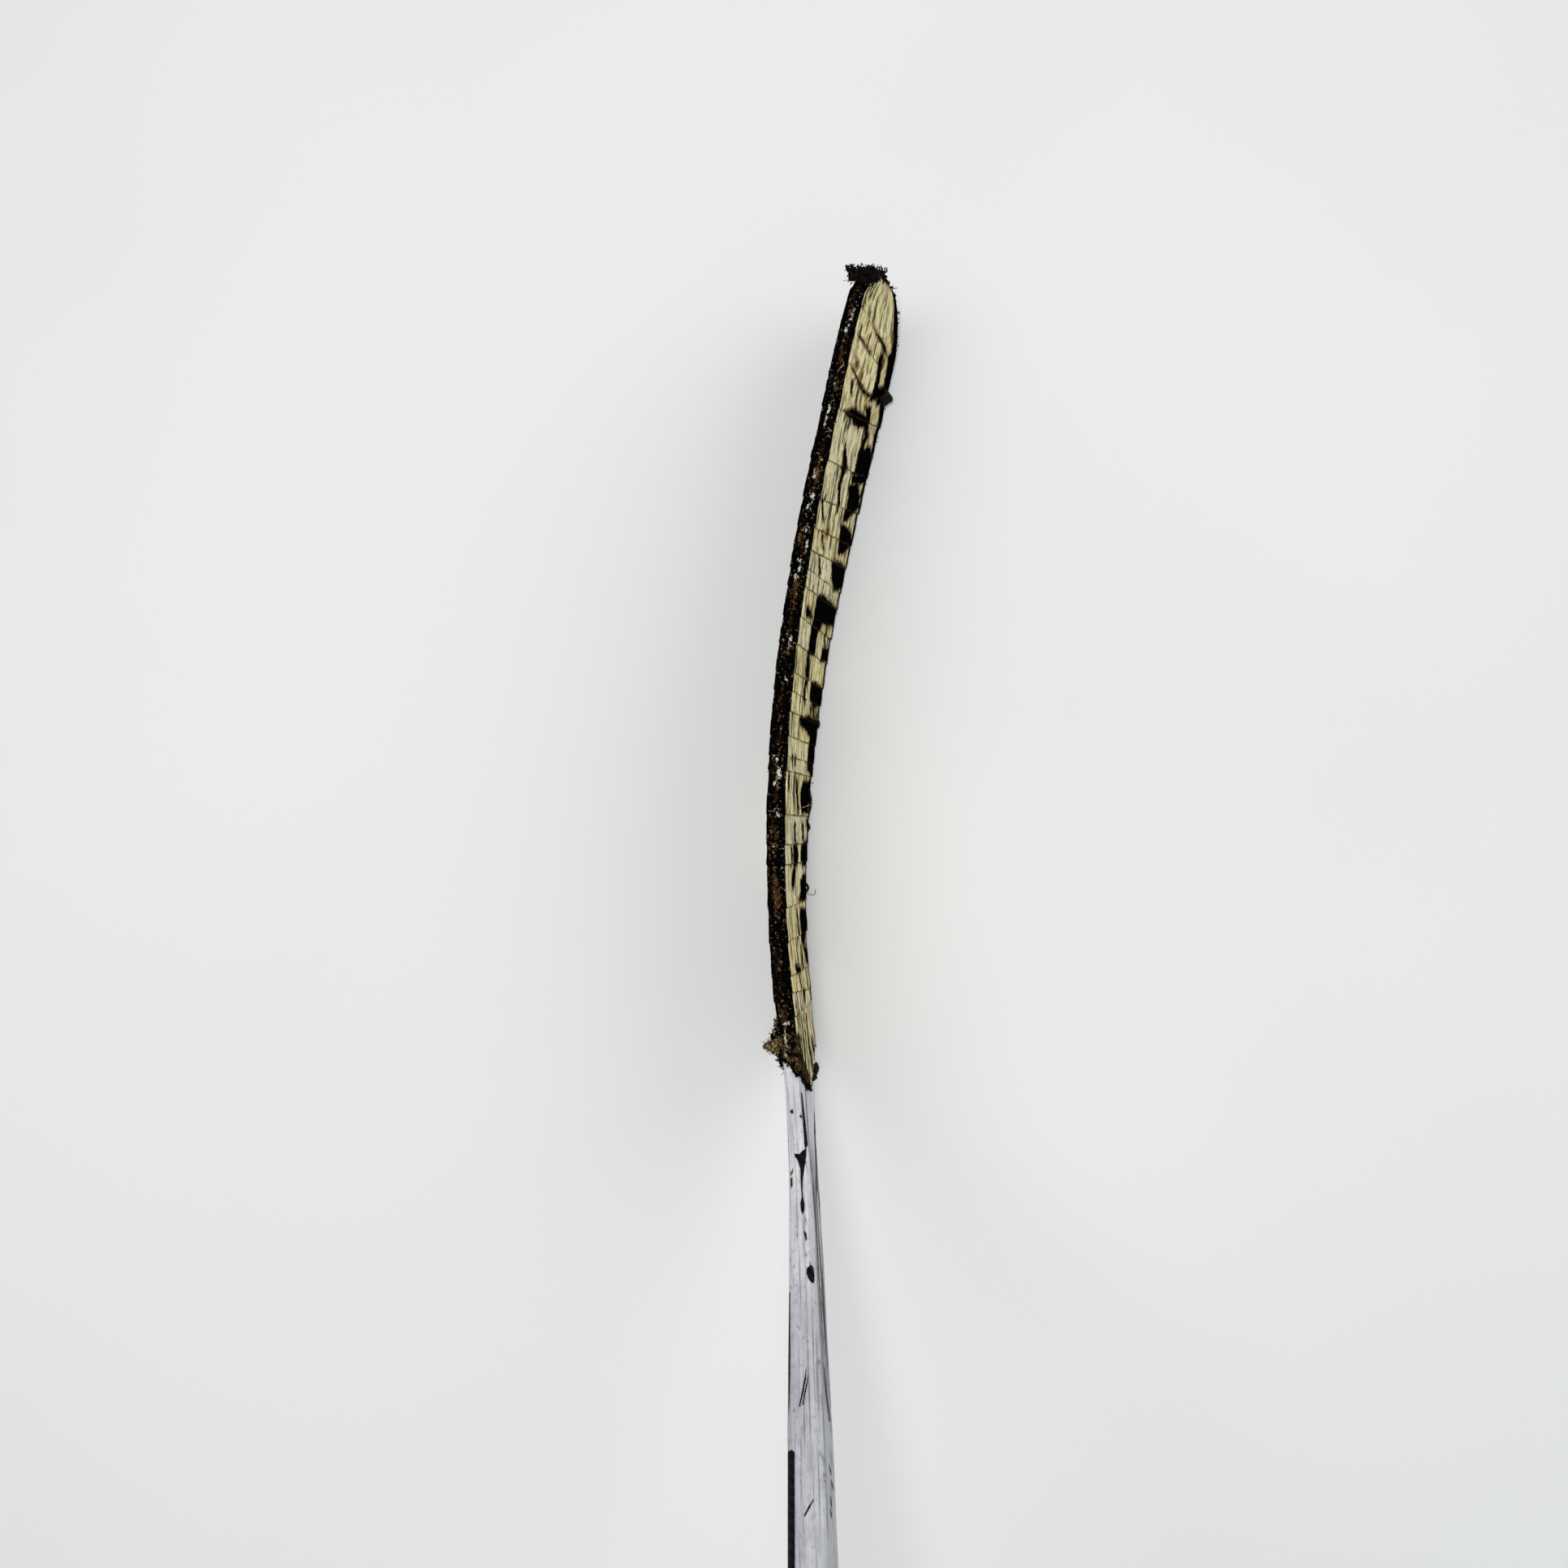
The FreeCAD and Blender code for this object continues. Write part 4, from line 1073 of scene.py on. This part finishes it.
def tubes_mesh(name, tubes):
    """One mesh of many closed tubes."""
    points, faces = [], []
    for rings in tubes:
        count, around = rings.shape[:2]
        base = len(points)
        points.extend(rings.reshape(-1, 3))
        for i in range(count - 1):
            for j in range(around):
                k = (j + 1) % around
                a = base + i * around
                faces.append((a + j, a + k, a + around + k, a + around + j))
        faces.append(tuple(base + j for j in range(around))[::-1])
        faces.append(tuple(base + (count - 1) * around + j for j in range(around)))
    mesh = bpy.data.meshes.new(name)
    mesh.from_pydata(place_mm(points).tolist(), [], faces)
    return mesh


FLOOR_CLEAR = -0.7                      # lowest height of a loose bit's middle
# How many loose fibres: sole, ridges of the top edge, toe stub, folds, flap, start.
SOLE_FUZZ, RIDGE_FUZZ, STUB_FUZZ, FOLD_FUZZ, FLAP_FUZZ, START_FUZZ = 150, 170, 330, 150, 90, 240
FLAP_BLACK = 70                         # this many of the flap's fibres are black


def thread_path(start, heading, length, curl):
    """A short loose fibre: starts along heading and wanders."""
    steps = max(5, int(length / 0.45))
    here = np.array(start, float)
    way = unit(np.array(heading, float))
    turn = rng.normal(size=3) * curl
    path = [here.copy()]
    for _ in range(steps):
        turn = turn * 0.8 + rng.normal(size=3) * curl * 0.55
        way = unit(way + np.cross(turn, way) * 0.5)
        here = here + way * (length / steps)
        here[2] = max(here[2], FLOOR_CLEAR)
        path.append(here.copy())
    return path


def surface_point(u, down, side):
    """A point on the taped blade with its up and backhand directions.

    side: -1 forehand, 1 backhand, 0 top edge, 2 sole.
    """
    u = np.array([float(u)])
    top, low = top_height(u), low_height(u)
    half_here = half_thickness(u) + TAPE_MEAN
    height, offset = top + (low - top) * down, half_here * side
    if side in (0, 2):
        height, offset = (low - 0.1 if side else top + 0.1), half_here * 0.0
    return blade_point(u, height, offset)[0], *(a[0] for a in blade_axes(u)[1:])


black_threads, pale_threads = [], []


def sort_thread(tube, black_share):
    """Draw whether a thread is black or pale."""
    (black_threads if rng.random() < black_share else pale_threads).append(tube)


# sparse fuzz along the sole side of the forehand, seen past the far edge
for _ in range(SOLE_FUZZ):
    u = rng.uniform(-4, 296)
    point, up, out = surface_point(u, 1.0, 2)
    point = point - out * rng.uniform(0.5, 2.8)
    way = -out * rng.uniform(0.5, 1.0) - up * rng.uniform(-0.1, 0.25) + rng.normal(size=3) * 0.5
    sort_thread(tube_points(thread_path(point, way, rng.uniform(0.8, 2.6), 0.5), 0.11), 0.75)
# fuzz on the top edge's two ridges
for _ in range(RIDGE_FUZZ):
    u = rng.uniform(-8, 300)
    point, up, out = surface_point(u, 0.0, 0)
    lean_out = rng.choice([-1.0, 1.0]) * rng.uniform(2.2, 3.2)
    point = point + out * lean_out - up * 0.3
    way = out * np.sign(lean_out) * rng.uniform(0.2, 1.0) + up * 0.4 + rng.normal(size=3) * 0.4
    sort_thread(tube_points(thread_path(point, way, rng.uniform(0.5, 1.5), 0.6), 0.09), 0.7)
# single long threads: distance, fraction down, side, heading (along, up, out),
# length, 1 for pale
LONG_THREADS = (
    (299.0, 0.0, 0, (-0.9, 0.3, 0.5), 8.0, 0), (229.0, 1.0, 2, (0.1, -0.2, -1.0), 4.5, 0),
    (205.0, 1.0, 2, (0.5, 0.2, -0.9), 3.5, 0), (182.0, 1.0, 2, (-0.5, 0.2, -0.9), 4.0, 1),
    (150.0, 1.0, 2, (0.3, 0.1, -1.0), 5.0, 0), (133.0, 1.0, 2, (0.9, 0.2, -0.8), 4.5, 0),
    (112.0, 1.0, 2, (-0.3, 0.2, -1.0), 4.5, 0), (97.0, 1.0, 2, (0.4, 0.2, -1.0), 5.0, 1),
    (91.0, 0.5, -1, (-0.1, 1.0, -0.6), 9.0, 1), (89.0, 0.0, 0, (0.2, 0.1, -1.0), 7.0, 1),
    (75.0, 1.0, 2, (-0.4, 0.1, -1.0), 3.0, 0), (58.0, 0.9, -1, (-0.2, 0.5, -1.0), 8.0, 0),
    (50.0, 1.0, 2, (0.3, 0.1, -1.0), 4.0, 0), (16.0, 1.0, 2, (0.6, 0.1, -1.0), 5.0, 0),
    (204.0, 0.0, 0, (0.3, 0.3, 1.0), 4.0, 0), (266.0, 0.0, 0, (0.8, 0.5, -0.5), 5.5, 1),
    (104.0, 0.0, 0, (0.2, 0.3, 1.0), 3.0, 0), (71.0, 0.0, 0, (-0.2, 0.3, 1.0), 3.0, 0))
for u, down, side_at, (a, b, c), length, pale in LONG_THREADS:
    point, up, out = surface_point(u, down, side_at)
    way = np.cross(out, up) * a + up * b + out * c
    tube = tube_points(thread_path(point, way, length, 0.35), 0.13)
    (pale_threads if pale else black_threads).append(tube)


# ---- frayed stub of tape on the toe's top corner ----
RIBBON_COLUMNS = 15


def ribbon(centre_path, wide, width, thickness, ragged_end, ripple):
    """Closed strip of tape along a path; wide is its width direction in mm."""
    path = np.asarray(centre_path, float)
    wide = np.broadcast_to(wide, path.shape)
    tangent = unit(np.gradient(path, axis=0))
    normal = unit(np.cross(tangent, wide))
    at = np.linspace(-0.5, 0.5, RIBBON_COLUMNS)
    rings = []
    for i, point in enumerate(path):
        torn = ragged_end * (rng.random(RIBBON_COLUMNS) - 0.3) * (i / (len(path) - 1)) ** 6
        lump = ripple * (rng.random(RIBBON_COLUMNS) - 0.5)
        line = point + wide[i] * (at * width)[:, None] + tangent[i] * torn[:, None]
        line = line + normal[i] * lump[:, None]
        skin = normal[i] * thickness / 2
        rings.append(np.concatenate([line + skin, (line - skin)[::-1]]))
    return np.array(rings)


TAB_CENTRE = np.array([302.4, -61.2, 47.2])
TAB_TURN = math.radians(-8.0)
stub_axis = np.array([math.cos(TAB_TURN), math.sin(TAB_TURN), 0.0])
stub_side = np.array([-stub_axis[1], stub_axis[0], 0.0])
STUB_HALF = 5.7                         # half the lump's width across the edge
UPRIGHT = np.array([0.0, 0.0, 1.0])
stub_tubes = []

# a doubled, squashed roll of tape whose layers have come open
for k in range(4):
    spiral = []
    middle = TAB_CENTRE + stub_side * (-4.6 + 2.8 * k)
    for t in np.linspace(0, 2.5 * math.pi, 56):
        r_long = 3.0 - 0.36 * t / math.pi - 0.35 * abs(k - 1.5) + 0.25 * math.sin(2 * t + 2 * k)
        r_high = 2.9 - 0.36 * t / math.pi
        spiral.append(middle + stub_axis * r_long * math.cos(t + 2.2 + 0.7 * k)
                      + UPRIGHT * r_high * math.sin(t + 2.2 + 0.7 * k))
    stub_tubes.append(ribbon(spiral, stub_side, 3.3, 0.6, 0.6, 0.5))
for k in range(7):
    reach = rng.uniform(1.2, 2.6)
    across = -STUB_HALF + 0.8 + 1.7 * k
    flap_path = [TAB_CENTRE + stub_axis * (0.6 + reach * t)
                 + stub_side * (across + 0.8 * math.sin(2 * t + k))
                 + UPRIGHT * (2.0 + 1.2 * math.sin(2.6 * t + k))
                 for t in np.linspace(0, 1, 12)]
    stub_tubes.append(ribbon(flap_path, stub_side, rng.uniform(1.0, 1.9), 0.35, 1.4, 0.5))
for _ in range(STUB_FUZZ):
    start = TAB_CENTRE + stub_axis * rng.uniform(-2.8, 3.2)
    start = start + stub_side * rng.uniform(-STUB_HALF - 0.8, STUB_HALF)
    start = start + UPRIGHT * rng.uniform(-1.0, 3.0)
    way = stub_axis * rng.uniform(-0.2, 0.9) + stub_side * rng.normal() * 0.7
    way = way + UPRIGHT * rng.uniform(-0.2, 0.9)
    path = thread_path(start, way, rng.uniform(0.9, 2.7), 1.5)
    stub_tubes.append(tube_points(path, rng.uniform(0.1, 0.22)))

# curled bits along the toe's front edge, down towards the sole: height, number
# of fibres and length
TUFTS = ((45.0, 34, 4.6), (37.0, 46, 5.4), (30.0, 40, 5.4), (23.0, 34, 4.6), (17.0, 24, 3.4),
         (11.0, 18, 2.6), (6.0, 14, 2.2), (2.5, 12, 1.8))
SOLE_RIM = 99                           # the ring's point at the sole's forehand rim
tip_rows = np.nonzero(U[:, SOLE_RIM] > 278.0)[0]
toe_rim = np.concatenate([wrap_rings[tip_rows, SOLE_RIM], wrap_rings[tip_rows[::-1], 0]])
_, up, out = blade_axes(300.0)
ahead = np.cross(out, up)
for level, count, length in TUFTS:
    for _ in range(count):
        height = float(np.clip(level + rng.normal() * 1.6, 1.0, 50.0))
        point = toe_rim[np.argmin(np.abs(toe_rim[:, 2] - height))] + out * rng.uniform(-0.2, 1.4)
        way = ahead * rng.uniform(0.2, 1.0) - out * rng.uniform(0.6, 1.6) + rng.normal(size=3) * 0.3
        path = thread_path(point, way, rng.uniform(0.4, 1.0) * length, 0.7)
        stub_tubes.append(tube_points(path, rng.uniform(0.14, 0.34)))
stub = finish_piece(tubes_mesh("toe_stub", stub_tubes), BLACK_CLOTH)
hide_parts("toe_tape_tab")

# ---- torn tape end peeling off the heel's backhand side ----
# At the root, middle and end: distance off the backhand face, lowest and
# highest X, height.
TAIL_RUN = ((-0.6, -2.6, 4.6, 68.6), (3.0, -1.6, 3.6, 69.9), (6.6, 0.4, 2.6, 71.7))
TAIL_HALF = 3.1                         # the blade's taped half thickness there
tail_tubes = []


def tail_at(t):
    return (np.interp(t, (0, 0.5, 1), column(TAIL_RUN, c)) for c in range(4))


TAIL_PLIES = ((1.0, 0.0, 0.0), (0.72, 0.55, 0.9), (0.55, -0.5, -1.1))
for k, (narrow, lift_k, slide) in enumerate(TAIL_PLIES):
    path, wide = [], []
    for t in np.linspace(0, 1 - 0.12 * k, 14):
        away, low, high, rise = tail_at(t)
        bend = 0.4 * math.sin(4 * t + k)
        path.append(((low + high) / 2 + slide * (1 - t), TAIL_HALF + away,
                     rise + lift_k * t + bend))
        wide.append(np.array([1.0, 0.1, 0.12 * math.sin(3 * t)]) * (high - low) * narrow)
    tail_tubes.append(ribbon(path, np.array(wide), 1.0, 0.3, 1.4, 0.35))

# loose folds of the same tape bunched along the backhand side beside the flap:
# where they lie along X and how far they stand off the face
BUNCH = ((-9.0, 0.4), (-6.0, 1.3), (-2.5, 2.4), (2.0, 3.4), (5.0, 3.8), (8.0, 2.4),
         (11.0, 1.2), (14.0, 0.3))
bunch_tubes = []
for k in range(5):
    folds = []
    for x in np.linspace(-8.0 + 2.2 * k, 13.0 - 1.6 * (4 - k), 22):
        away = look_up(BUNCH, x) * (1.0 - 0.15 * k)
        folds.append((x, TAIL_HALF - 0.4 + away + 0.45 * math.sin(1.9 * x + 2 * k),
                      67.4 - 1.6 * k + 0.5 * math.sin(1.3 * x + k)))
    bunch_tubes.append(ribbon(folds, np.array([0.1, 0.5, 0.9]), 2.2, 0.4, 1.2, 0.9))
for _ in range(FOLD_FUZZ):
    x = rng.uniform(-9.0, 12.0)
    away = look_up(BUNCH, x)
    start = (x, TAIL_HALF + away * rng.uniform(0.3, 1.0), 67.8 + rng.uniform(-1.0, 1.0))
    way = (rng.normal() * 0.9, rng.uniform(0.0, 0.8), rng.uniform(-0.2, 0.5))
    fibre = tube_points(thread_path(start, way, rng.uniform(0.8, 2.6), 0.7), rng.uniform(0.1, 0.3))
    (pale_threads if x > 6.0 and rng.random() < 0.45 else black_threads).append(fibre)
finish_piece(tubes_mesh("heel_folds", bunch_tubes), BLACK_CLOTH)
tail_threads = []
for _ in range(FLAP_FUZZ):
    t = rng.uniform(0.0, 1.0)
    away, low, high, rise = tail_at(t)
    start = (rng.choice([low, high]) + rng.normal() * 0.3, TAIL_HALF + away, rise + 0.2)
    way = (rng.normal() * 0.8, rng.uniform(0.0, 1.0), rng.uniform(-0.2, 0.7))
    tail_threads.append(tube_points(thread_path(start, way, rng.uniform(0.6, 2.0), 0.8), 0.09))
black_threads += tail_threads[:FLAP_BLACK]
pale_threads += tail_threads[FLAP_BLACK:]
torn_end = fibres("torn_tape_end", srgb(62, 50, 30), srgb(168, 148, 98))
flap = finish_piece(tubes_mesh("heel_flap", tail_tubes), torn_end)
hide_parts("heel_tape_tail")

# ragged start of the tape: dots and short black fibres
for _ in range(START_FUZZ):
    j = int(rng.integers(0, AROUND))
    point = wrap_rings[0, j]
    way = np.array([-1.0, 0.0, 0.4]) * rng.uniform(0.3, 1.0) + rng.normal(size=3) * 0.35
    path = thread_path(point, way, rng.uniform(0.5, 1.9), 0.9)
    black_threads.append(tube_points(path, rng.uniform(0.1, 0.34)))
finish_piece(tubes_mesh("black_threads", black_threads), BLACK_CLOTH)
finish_piece(tubes_mesh("pale_threads", pale_threads), PALE_CLOTH)


# ---- torn strips hanging at the sole ----
# Distance of the root, run towards the heel, height, how far they stand out.
TORN_STRIPS = ((277.5, 7.0, 9.0, 3.0), (277.0, 6.0, 6.0, 1.8), (250.0, 3.0, 3.0, 0.8),
               (133.0, 6.0, 3.0, 1.2), (88.0, 5.0, 2.6, 1.0), (102.0, 14.0, 3.2, 1.0),
               (62.0, 5.0, 3.0, 1.2), (-12.8, 5.5, 9.0, 1.0), (-13.4, 5.0, 7.0, 0.4))
torn = []
for u0, run, height, proud in TORN_STRIPS:
    path, wide = [], []
    for t in np.linspace(0, 1, 14):
        point, up, out = surface_point(u0 - run * t, 1.0, 2)
        point[2] = max(point[2], FLOOR_CLEAR)
        lift = proud * math.sin(math.pi * min(t * 1.15, 1.0))
        path.append(point - out * (half_thickness(u0) + 0.5 + lift) + up * (2.6 + height / 2))
        wide.append(up + out * 0.1)
    torn.append(ribbon(path, np.array(wide), height, 0.35, 1.5, 0.35))
finish_piece(tubes_mesh("torn_strips", torn), BLACK_CLOTH)


# ---- butt end: grip tape, knob tape, plug ----
CORNER_STEPS, FLAT_STEPS = 10, (16, 22)


def rounded_ring(s, width, depth, corner):
    """Ring round the shaft's section, in heel-frame mm."""
    arcs = []
    for k, (sd, sw) in enumerate(((1, -1), (1, 1), (-1, 1), (-1, -1))):
        a = np.linspace(0, math.pi / 2, CORNER_STEPS) + math.pi / 2 * ((k + 3) % 4)
        arcs.append(np.stack([sd * (depth / 2 - corner) + corner * np.cos(a),
                              sw * (width / 2 - corner) + corner * np.sin(a)], -1))
    ring = []
    for k in range(4):
        flat_part = np.linspace(arcs[k][-1], arcs[(k + 1) % 4][0], FLAT_STEPS[k % 2])
        ring += [arcs[k], flat_part[1:-1]]
    ring = np.concatenate(ring)
    centre = ALONG * s + INNER * (SHAFT_DEPTH / 2)
    return centre + ring[:, :1] * INNER + ring[:, 1:] * np.array([0, 1, 0])


SHAFT_WIDE, SHAFT_ROUND = 19.0, 5.0
LEAD_IN = 0.6                           # length over which the tape comes up at its ends
GRIP_BEGIN = SHAFT_END - 170.0
KNOB_BEGIN = SHAFT_END + PLUG_FLANGE - 17.0


def quarter_round(part):
    """Height of a quarter circle, part of the way along its radius."""
    return math.sqrt(1 - (1 - np.clip(part, 0.0, 1.0)) ** 2)


def wound_sleeve(name, start, stop, build, pitch, seed, cap_in=2.2, rounded=False):
    """Spirally wound tape: a step at every turn, creases and rounded ends."""
    s_list = np.concatenate([start + np.linspace(0, 1.2, 5),
                             np.arange(start + 1.5, stop - 1.5, 0.55),
                             stop - np.linspace(1.2, 0, 6)])
    rings, spots, laps = [], [], []
    for s in s_list:
        edge_in = min(1.0, max(0.0, (s - start) / LEAD_IN), max(0.0, (stop - s) / LEAD_IN))
        rounding = min(quarter_round((s - start) / cap_in), quarter_round((stop - s) / cap_in))
        thick = build * (0.25 + 0.75 * rounding) if rounded else build * (0.35 + 0.65 * edge_in)
        base = rounded_ring(s, SHAFT_WIDE, SHAFT_DEPTH, SHAFT_ROUND)
        outer = rounded_ring(s, SHAFT_WIDE + 2, SHAFT_DEPTH + 2, SHAFT_ROUND + 1)
        around = len(base)
        k = np.arange(around)
        turn = (s - start) / pitch - k / around
        part = turn - np.floor(turn)
        step = 0.28 * (1 - part) ** 0.8
        crease = (patchy(np.full(around, s * 0.35), k * 0.14, seed) - 0.5) * 0.22
        lift = (thick - 0.3) + (step + crease) * (0.4 + 0.6 * edge_in)
        rings.append(base + (outer - base) * np.minimum(lift, thick)[:, None])
        spots.append(np.stack([np.full(around, s), k * 0.95, np.zeros(around)], -1))
        laps.append(np.where(part < 0.5, part, part - 1) * pitch)
    first, last = (rounded_ring(s, SHAFT_WIDE - 0.6, SHAFT_DEPTH - 0.6, SHAFT_ROUND - 0.3)
                   for s in (start, stop))
    rings = np.array([first] + rings + [last])
    spots = np.array([spots[0]] + spots + [spots[-1]])
    laps = np.array([laps[0]] + laps + [laps[-1]])
    return ring_mesh(name, rings, {"spot": spots, "lap": laps})


GRIP_MATERIAL = plain_tape("black_grip_tape", srgb(22, 20, 19), srgb(46, 42, 38), srgb(88, 80, 68))
KNOB_MATERIAL = plain_tape("black_knob_tape", srgb(18, 17, 16), srgb(38, 35, 32), srgb(76, 70, 60))
grip_mesh = wound_sleeve("grip_wrap", GRIP_BEGIN, KNOB_BEGIN + 0.4, 0.8, 14.0, 51)
grip = finish_piece(grip_mesh, GRIP_MATERIAL)
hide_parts("grip_tape")
knob_mesh = wound_sleeve("knob_wrap", KNOB_BEGIN, SHAFT_END + PLUG_FLANGE, 4.2, 7.5, 52, 3.0, True)
knob = finish_piece(knob_mesh, KNOB_MATERIAL)
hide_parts("knob_tape")

CARBON = carbon_laminate("carbon_laminate", srgb(15, 15, 17), srgb(33, 34, 38), 0.36)
RIB_CARBON = carbon_laminate("rib_laminate", srgb(22, 22, 22), srgb(46, 46, 46), 0.5)
PALE_FOAM = foam("pale_core_foam", srgb(222, 208, 168), srgb(168, 150, 108))
FIRM_FOAM = foam("firm_core_foam", srgb(210, 190, 146), srgb(150, 130, 92))
CAD_FINISH = {
    "blade_tang": RIB_CARBON, "forehand_skin": CARBON, "backhand_skin": CARBON,
    "edge_band": RIB_CARBON, "core_rib": RIB_CARBON, "upper_core": PALE_FOAM,
    "lower_core": FIRM_FOAM, "butt_plug": moulded_plastic(),
}
for node_name, material in CAD_FINISH.items():
    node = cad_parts[node_name]
    node.data.materials.clear()
    node.data.materials.append(material)

# ---- floor, light, camera ----
def stage_material():
    m = Shade("pale_matt_floor", roughness=0.8, specular=0.2)
    spot = m.place()
    cloud = m.noise(spot, 1.4, 3.0)
    grain = m.noise(spot, 60.0, 3.0)
    m.colour(m.mix(m.ramp(cloud, 0.35, 0.7), srgb(236, 235, 234), srgb(229, 231, 230)))
    m.rough(m.ramp(grain, 0.3, 0.7, 0.7, 0.9))
    m.bump(grain, 0.05, 0.3)
    return m.material


floor_mesh = bpy.data.meshes.new("floor")
SPREAD, CELLS = 9.0, 16
steps = [SPREAD * (2 * i / CELLS - 1) for i in range(CELLS + 1)]
corners = [i * (CELLS + 1) + j for i in range(CELLS) for j in range(CELLS)]
floor_mesh.from_pydata([(x, y, 0.0) for x in steps for y in steps], [],
                       [(a, a + CELLS + 1, a + CELLS + 2, a + 1) for a in corners])
floor = add_object("floor", floor_mesh)
floor_mesh.materials.append(stage_material())


def area_light(name, offset, size, power, tint):
    """Disc light aimed at the blade's middle, offset from it in metres."""
    data = bpy.data.lights.new(name, "AREA")
    data.shape, data.size, data.energy, data.color = "DISK", size, power, tint
    lamp = add_object(name, data)
    lamp.location = BLADE_MIDDLE + Vector(offset)
    aim = BLADE_MIDDLE - lamp.location
    lamp.rotation_euler = aim.to_track_quat("-Z", "Y").to_euler()


BLADE_MIDDLE = Vector(place_mm((150.0, -20.0, 40.0)).tolist())
area_light("key", (0.35, 0.9, 1.7), 1.6, 9.0, (1.0, 0.99, 0.97))
area_light("fill", (0.5, -1.9, 1.3), 2.0, 17.0, (0.98, 0.99, 1.0))
area_light("top", (-0.05, 0.0, 1.6), 0.4, 9.8, (1.0, 1.0, 1.0))
world = bpy.data.worlds.new("studio")
bpy.context.scene.world = world
world.use_nodes = True
background = world.node_tree.nodes["Background"]
background.inputs["Color"].default_value = (0.93, 0.95, 0.97, 1.0)
background.inputs["Strength"].default_value = 0.37
bpy.context.scene.view_settings.view_transform = "Standard"

CAMERA_AT = (63.4, -65.0, 670.8)        # heel frame, mm
CAMERA_RIGHT = np.array([-0.1113, -0.9888, -0.0994])
CAMERA_BACK = np.array([-0.061, -0.0931, 0.9938])
SENSOR, FOCAL_PIXELS, IMAGE_PIXELS = 36.0, 1936.0, 1932.0
back = CAMERA_BACK / np.linalg.norm(CAMERA_BACK)
right = CAMERA_RIGHT - back * (CAMERA_RIGHT @ back)
right /= np.linalg.norm(right)
above = np.cross(back, right)
camera_data = bpy.data.cameras.new("camera")
camera_data.sensor_width = SENSOR
camera_data.lens = SENSOR * FOCAL_PIXELS / IMAGE_PIXELS
camera_data.clip_start = 0.01
camera_data.dof.use_dof = False
camera = add_object("camera", camera_data)
turn = Matrix(np.stack([right, above, back], 1).tolist()).to_4x4()
camera.matrix_world = Matrix.Translation(Vector(place_mm(CAMERA_AT).tolist())) @ turn
bpy.context.scene.camera = camera
